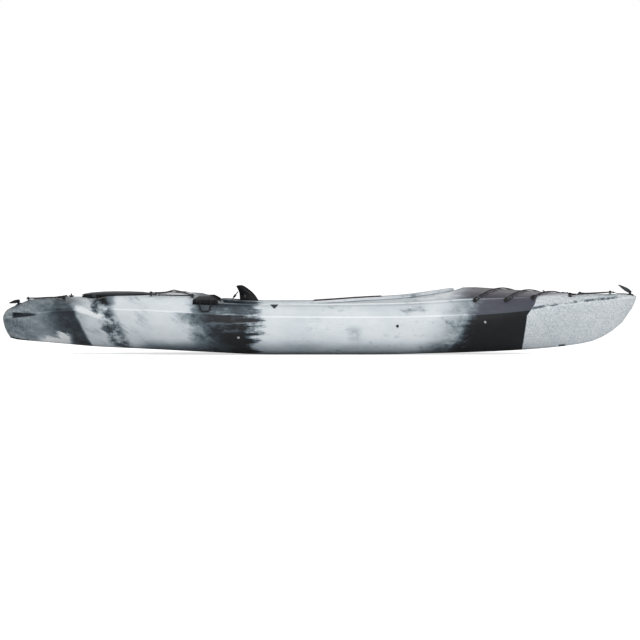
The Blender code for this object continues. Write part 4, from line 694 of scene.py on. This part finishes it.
def gridCells(rows, columns, closed=True):
    # Row, next row, column and next column of each face of a grid whose columns run round
    last = rows if closed else rows - 1
    row, column = (grid.ravel() for grid in np.meshgrid(np.arange(last), np.arange(columns), indexing="ij"))
    return row, (row + 1) % rows, column, (column + 1) % columns


def gridFaces(corners, columns):
    return np.stack([row * columns + column for row, column in corners], 1).tolist()


def tubePiece(name, route, radius, material, sides=16, closed=False):
    # Circles carried along the route: p + radius cos(a) side + radius sin(a) top. The map counts turns round
    # the tube in one direction and girths of length in the other
    if closed:
        run = np.roll(route, -1, axis=0) - np.roll(route, 1, axis=0)
    else:
        run = np.gradient(route, axis=0)
    run /= np.linalg.norm(run, axis=1, keepdims=True)
    side = np.cross(run, [0.0, 0.0, 1.0])
    side /= np.linalg.norm(side, axis=1, keepdims=True)
    top = np.cross(side, run)
    radius = np.broadcast_to(radius, len(route))[:, None, None]
    turn = np.linspace(0.0, 2.0 * np.pi, sides, endpoint=False)[None, :, None]
    points = route[:, None, :] + radius * (np.cos(turn) * side[:, None, :] + np.sin(turn) * top[:, None, :])
    rows = len(route)
    row, above, column, beside = gridCells(rows, sides, closed)
    faces = gridFaces(((row, column), (row, beside), (above, beside), (above, column)), sides)
    ends = [] if closed else [list(range(sides))[::-1], list(range((rows - 1) * sides, rows * sides))]
    length = np.concatenate([[0.0], np.cumsum(np.linalg.norm(np.diff(route, axis=0), axis=1))])
    girths = np.append(length, length[-1]) / (2.0 * np.pi * float(radius.mean()))
    u = np.stack([column, column + 1, column + 1, column], 1) / sides
    v = np.stack([girths[row], girths[row], girths[row + 1], girths[row + 1]], 1)
    uv = np.concatenate([np.stack([u, v], 2).reshape(-1, 2), np.zeros((len(ends) * sides, 2))])
    return meshPiece(name, points.reshape(-1, 3), faces + ends, material, uv)


# Elastic cord: black braid with a few pale threads. Each length is in metres
cordLook = {"color": (0.014, 0.014, 0.016), "thread": (0.20, 0.205, 0.21), "strands": 8.0, "radius": 0.0039,
            "spacing": 0.0022}
# A clamp's profile is (along the cord, half width). It stands inset from the cord's end, and the strand
# beside it is looked for past clear
clampLook = {"color": (0.52, 0.53, 0.54), "sides": 28, "inset": 0.016, "clear": 0.085,
             "profile": [(-0.0026, 0.0042), (-0.0026, 0.0051), (0.0026, 0.0051), (0.0026, 0.0042)]}
keeperLook = {"spacing": 0.0012, "radius": 0.0031, "lockHeight": 0.348, "lockHalf": 0.0088,
              "lockFade": 0.0016, "lockSwell": 0.0034}
# The lanyard falls from a bend over the deck by (x, drop), then lies on it by (x, gap) up to the mount
lanyardLook = {"radius": 0.0021, "spacing": 0.0015, "bendOver": 1.748, "bendRise": 0.0106,
               "fall": [(1.7575, 0.0), (1.7680, 0.0012), (1.7800, 0.0046)],
               "lie": [(1.7940, 0.0010), (1.8150, 0.0006), (1.8350, 0.0005)], "intoMount": 0.0006,
               "mountGap": 0.0005, "knot": 0.10, "knotHalf": 0.075, "knotSwell": 0.0030}


def cordMaterial():
    material, shader, place = startMaterial("braidedElastic", {"Roughness": 0.74, "Sheen Weight": 0.15})
    uv = place.make("UVMap", {"uv_map": "along"})
    around, along, _ = uv.parts()
    turns = math.pi * cordLook["strands"]
    left = around + along * 0.5
    right = around - along * 0.5
    weave = (left * turns).sine() * (right * turns).sine()
    pale = (left * (0.5 * turns)).sine().step(0.93, 0.99) * weave.step(0.0, 0.4)
    dust = place.noise(60.0, 5.0, 0.7).step(-0.1, 0.4)
    base = dust.blend((*cordLook["color"], 1.0), (*[c * 2.2 for c in cordLook["color"]], 1.0))
    feed(shader, "Base Color", pale.blend(base, (*cordLook["thread"], 1.0)))
    feedBump(shader, weave + place.noise(900.0, 2.0) * 0.3, 0.6, 0.0005)
    return material


materials["cord"] = cordMaterial()
materials["clamp"] = metalMaterial("paleClamp", clampLook["color"], 0.42, (1.0, 1.0, 4.0))


def clampBand(name, first, second, along):
    # A flat band round two cords side by side: an oval of half width r, stretched by half their distance
    middle = 0.5 * (first + second)
    across = second - first
    apart = 0.5 * np.linalg.norm(across)
    across /= 2.0 * apart
    along = along - across * (along @ across)
    along /= np.linalg.norm(along)
    top = np.cross(along, across)
    sides = clampLook["sides"]
    turn = np.linspace(0.0, 2.0 * np.pi, sides, endpoint=False)[:, None, None]
    shift, radius = np.array(clampLook["profile"]).T[:, None, :, None]
    stretch = np.clip(3.0 * np.cos(turn), -1.0, 1.0) * apart
    points = middle + across * (radius * np.cos(turn) + stretch) + top * radius * np.sin(turn) + along * shift
    rings = len(clampLook["profile"])
    row, above, column, beside = gridCells(sides, rings)
    faces = gridFaces(((row, column), (above, column), (above, beside), (row, beside)), rings)
    band = meshPiece(name, points.reshape(-1, 3), faces, materials["clamp"])
    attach(band, "hull")


def clampEnd(name, route, tail):
    # The band sits a little in from the cord's cut end, round that end and the strand beside it
    steps = int(clampLook["inset"] / cordLook["spacing"])
    line = route if tail == "first" else route[::-1]
    spot = line[steps]
    rest = line[int(clampLook["clear"] / cordLook["spacing"]):]
    near = rest[np.argmin(np.linalg.norm(rest - spot, axis=1))]
    clampBand(name, spot.copy(), near.copy(), line[steps + 1] - line[steps])


def routeLength(route):
    return round(float(np.linalg.norm(np.diff(route, axis=0), axis=1).sum()), 3)


for cordName in ("bow_bungee_1", "bow_bungee_2", "bow_bungee_3", "bow_vee_bungee", "after_deck_bungee",
                 "stern_vee_bungee"):
    route = smoothRoute(cordRoute(cordName), cordLook["spacing"])
    cord = tubePiece(cordName + "_braid", route, cordLook["radius"], materials["cord"])
    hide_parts(cordName)
    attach(cord, "hull")
    clampEnd(cordName + "_clamp_a", route, "first")
    clampEnd(cordName + "_clamp_b", route, "last")
    print(cordName, "laid,", routeLength(route), "m")


def keeperCord():
    # The seat back's keeper, with a cord lock part of the way up it
    route = smoothRoute(cordRoute("back_keeper_cord"), keeperLook["spacing"])
    if route[0][2] > route[-1][2]:
        route = route[::-1].copy()
    away = np.abs(route[:, 2] - keeperLook["lockHeight"])
    lock = np.clip((keeperLook["lockHalf"] - away) / keeperLook["lockFade"], 0.0, 1.0)
    radius = keeperLook["radius"] + keeperLook["lockSwell"] * np.sqrt(lock)
    cord = tubePiece("back_keeper_braid", route, radius, materials["cord"])
    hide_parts("back_keeper_cord")
    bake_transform(cord)
    print("back_keeper_cord laid,", routeLength(route), "m")


def bowLanyard():
    # A thin line from the vee's forward bend down to the deck and on to the bow handle's mount
    look = lanyardLook
    bend = topOf("hull_shell", look["bendOver"], 0.0) + look["bendRise"]
    spots = [(x, bend - drop) for x, drop in look["fall"]]
    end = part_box("bow_handle_mount")[0][0] + look["intoMount"]
    for x, gap in look["lie"] + [(end, look["mountGap"])]:
        spots.append((x, topOf("hull_shell", x, 0.0) + look["radius"] + gap))
    route = smoothRoute(np.array([(x, 0.0, z) for x, z in spots]), look["spacing"])
    away = (np.linspace(0.0, 1.0, len(route)) - look["knot"]) / look["knotHalf"]
    radius = look["radius"] + look["knotSwell"] * np.sqrt(np.clip(1.0 - away ** 2, 0.0, 1.0))
    lanyard = tubePiece("bow_lanyard", route, radius, materials["cord"])
    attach(lanyard, "hull")
    print("bow_lanyard laid,", routeLength(route), "m")


keeperCord()
bowLanyard()
print("cords laid")


# Cushions: woven black cover over foam, swollen by air pressure, with sewn channels and a piped edge
coverLook = {"color": (0.022, 0.023, 0.026), "worn": (0.060, 0.062, 0.068), "thread": 0.0024, "voxel": 0.005,
             "shrink": 0.0034, "pressure": 4.0, "quality": 5, "frames": 20, "seamDepth": 0.0036,
             "seamWidth": 0.0052, "puckerDepth": 0.0005, "puckerPitch": 0.021, "puckerReach": 0.013,
             "pipingRadius": 0.0026, "pipingSides": 10}
# Each cushion is held where its normals point away from outward; its seams are shares of half from middle
seatLook = {"outward": (0.0, 0.0, 1.0), "held": -0.6, "swell": 0.006, "across": (1.0, 0.0, 0.0),
            "middle": -0.222, "half": 0.176, "seams": (-0.40, 0.05, 0.50), "pipingHalf": (0.1745, 0.1665),
            "pipingRise": 0.0058}
backLook = {"outward": (1.0, 0.0, 0.0), "held": -0.5, "swell": 0.005, "across": (0.0, 0.0, 1.0),
            "middle": 0.284, "half": 0.099, "seams": (-0.38, 0.30)}
foamLook = {"color": (0.030, 0.016, 0.017), "voxel": 0.003, "cell": 520.0, "softness": 0.5, "softSteps": 3}


def coverMaterial():
    # The weave is the sum of the products of sines of x, y and z, two at a time, so it needs no unwrapping
    material, shader, place = startMaterial("wovenCover", {"Sheen Weight": 0.25, "Sheen Roughness": 0.5})
    x, y, z = [(part * (2.0 * math.pi / coverLook["thread"])).sine() for part in place.parts()]
    weave = x * y + y * z + z * x
    fade = place.noise(9.0, 5.0, 0.65)
    feed(shader, "Base Color", (weave * 0.16 + fade + 0.25).step(0.0, 0.9).blend(
        (*coverLook["color"], 1.0), (*coverLook["worn"], 1.0)))
    feed(shader, "Roughness", 0.86 + fade * 0.14)
    feedBump(shader, weave + fade * 2.0, 0.5, 0.0006)
    return material


def foamMaterial():
    material, shader, place = startMaterial("padFoam")
    cell = place.noise(foamLook["cell"], 3.0, 0.7)
    fade = place.noise(12.0, 5.0, 0.7)
    feed(shader, "Base Color", (fade + cell * 0.5).step(-0.3, 0.5).blend(
        (*foamLook["color"], 1.0), (*[c * 1.8 for c in foamLook["color"]], 1.0)))
    feed(shader, "Roughness", 0.90 + cell * 0.1)
    feedBump(shader, cell + fade, 0.5, 0.0008)
    return material


materials["cover"] = coverMaterial()
materials["padFoam"] = foamMaterial()


def softCopy(node, name, shrink, voxel, material):
    # The node's solid, drawn in along its normals and made again in small even faces
    mesh = weldedMesh(node, name)
    movePoints(mesh, meshPoints(mesh) - shrink * meshNormals(mesh))
    piece = bpy.data.objects.new(name, mesh)
    bpy.context.scene.collection.objects.link(piece)
    remesh = piece.modifiers.new("evenFaces", "REMESH")
    remesh.mode = "VOXEL"
    remesh.voxel_size = voxel
    keepResult(piece)
    piece.data.materials.clear()
    piece.data.materials.append(material)
    return piece


def keepResult(piece):
    graph = bpy.context.evaluated_depsgraph_get()
    result = bpy.data.meshes.new_from_object(piece.evaluated_get(graph))
    piece.modifiers.clear()
    piece.data = result
    result.shade_smooth()


def inflate(piece, held, cap):
    # Air pressure swells the cover for some frames; held points stay, and no point moves further than cap
    start = meshPoints(piece.data)
    group = piece.vertex_groups.new(name="held")
    group.add(np.flatnonzero(held).tolist(), 1.0, "REPLACE")
    cloth = piece.modifiers.new("air", "CLOTH")
    settings = cloth.settings
    settings.quality = coverLook["quality"]
    settings.use_pressure = True
    settings.uniform_pressure_force = coverLook["pressure"]
    settings.effector_weights.gravity = 0.0
    settings.vertex_group_mass = "held"
    cloth.point_cache.frame_start = 1
    cloth.point_cache.frame_end = coverLook["frames"]
    scene = bpy.context.scene
    for frameNumber in range(1, coverLook["frames"] + 1):
        scene.frame_set(frameNumber)
    swollen = bpy.data.meshes.new_from_object(piece.evaluated_get(bpy.context.evaluated_depsgraph_get()))
    shift = meshPoints(swollen) - start
    far = np.linalg.norm(shift, axis=1, keepdims=True)
    shift *= np.minimum(1.0, cap / np.maximum(far, 1e-9))
    piece.modifiers.clear()
    piece.vertex_groups.clear()
    scene.frame_set(1)
    movePoints(piece.data, start + shift)
    bpy.data.meshes.remove(swollen)


def sewChannels(piece, along, places, outward):
    # Each channel is a furrow, depth exp(-(distance / width)^2), with small puckers beside the stitches
    points = meshPoints(piece.data)
    normals = meshNormals(piece.data)
    facing = np.clip(normals @ np.array(outward), 0.0, 1.0)
    lineUp = points @ np.array(along)
    pucker = coverLook["puckerDepth"] * np.sin(points[:, 1] * 2.0 * np.pi / coverLook["puckerPitch"])
    drop = np.zeros(len(points))
    for spot in places:
        away = np.abs(lineUp - spot)
        drop += coverLook["seamDepth"] * np.exp(-(away / coverLook["seamWidth"]) ** 2)
        drop += pucker * np.exp(-(away / coverLook["puckerReach"]) ** 2)
    movePoints(piece.data, points - normals * (drop * facing)[:, None])


def finishCushion(piece, node, body):
    subdivision = piece.modifiers.new("smoothCover", "SUBSURF")
    subdivision.levels = 1
    subdivision.render_levels = 1
    keepResult(piece)
    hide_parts(node)
    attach(piece, body)


def pipedEdge(name, spots, body):
    radius, sides = coverLook["pipingRadius"], coverLook["pipingSides"]
    cord = tubePiece(name, spots, radius, materials["cover"], sides, closed=True)
    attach(cord, body)


def roundSquare(count=160, power=0.16):
    # u, v round a square with rounded corners: the signed powers of cosine and sine
    turn = np.linspace(0.0, 2.0 * np.pi, count, endpoint=False)
    c = np.cos(turn)
    s = np.sin(turn)
    return np.sign(c) * np.abs(c) ** power, np.sign(s) * np.abs(s) ** power


def sewnCover(node, name, look):
    piece = softCopy(node, name, coverLook["shrink"], coverLook["voxel"], materials["cover"])
    held = meshNormals(piece.data) @ np.array(look["outward"]) < look["held"]
    inflate(piece, held, look["swell"])
    seams = [look["middle"] + look["half"] * share for share in look["seams"]]
    sewChannels(piece, look["across"], seams, look["outward"])
    return piece


def seatCushion():
    piece = sewnCover("seat_cushion", "seat_cushion_cover", seatLook)
    finishCushion(piece, "seat_cushion", "hull")
    u, v = roundSquare()
    x = seatLook["middle"] + seatLook["pipingHalf"][0] * v
    y = seatLook["pipingHalf"][1] * u
    spots = np.array([(a, b, topOf("seat_pan", a, b) + seatLook["pipingRise"]) for a, b in zip(x, y)])
    pipedEdge("seat_cushion_piping", spots, "hull")


def backPad():
    piece = sewnCover("seat_back_pad", "seat_back_cover", backLook)
    finishCushion(piece, "seat_back_pad", "seat_back")


def thighPad(label):
    name = "thigh_pad_foam_" + label
    piece = softCopy("thigh_pad_" + label, name, 0.0, foamLook["voxel"], materials["padFoam"])
    soften = piece.modifiers.new("softEdges", "SMOOTH")
    soften.factor = foamLook["softness"]
    soften.iterations = foamLook["softSteps"]
    keepResult(piece)
    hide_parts("thigh_pad_" + label)
    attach(piece, "hull")


seatCushion()
backPad()
thighPad("port")
thighPad("starboard")
print("cushions made")
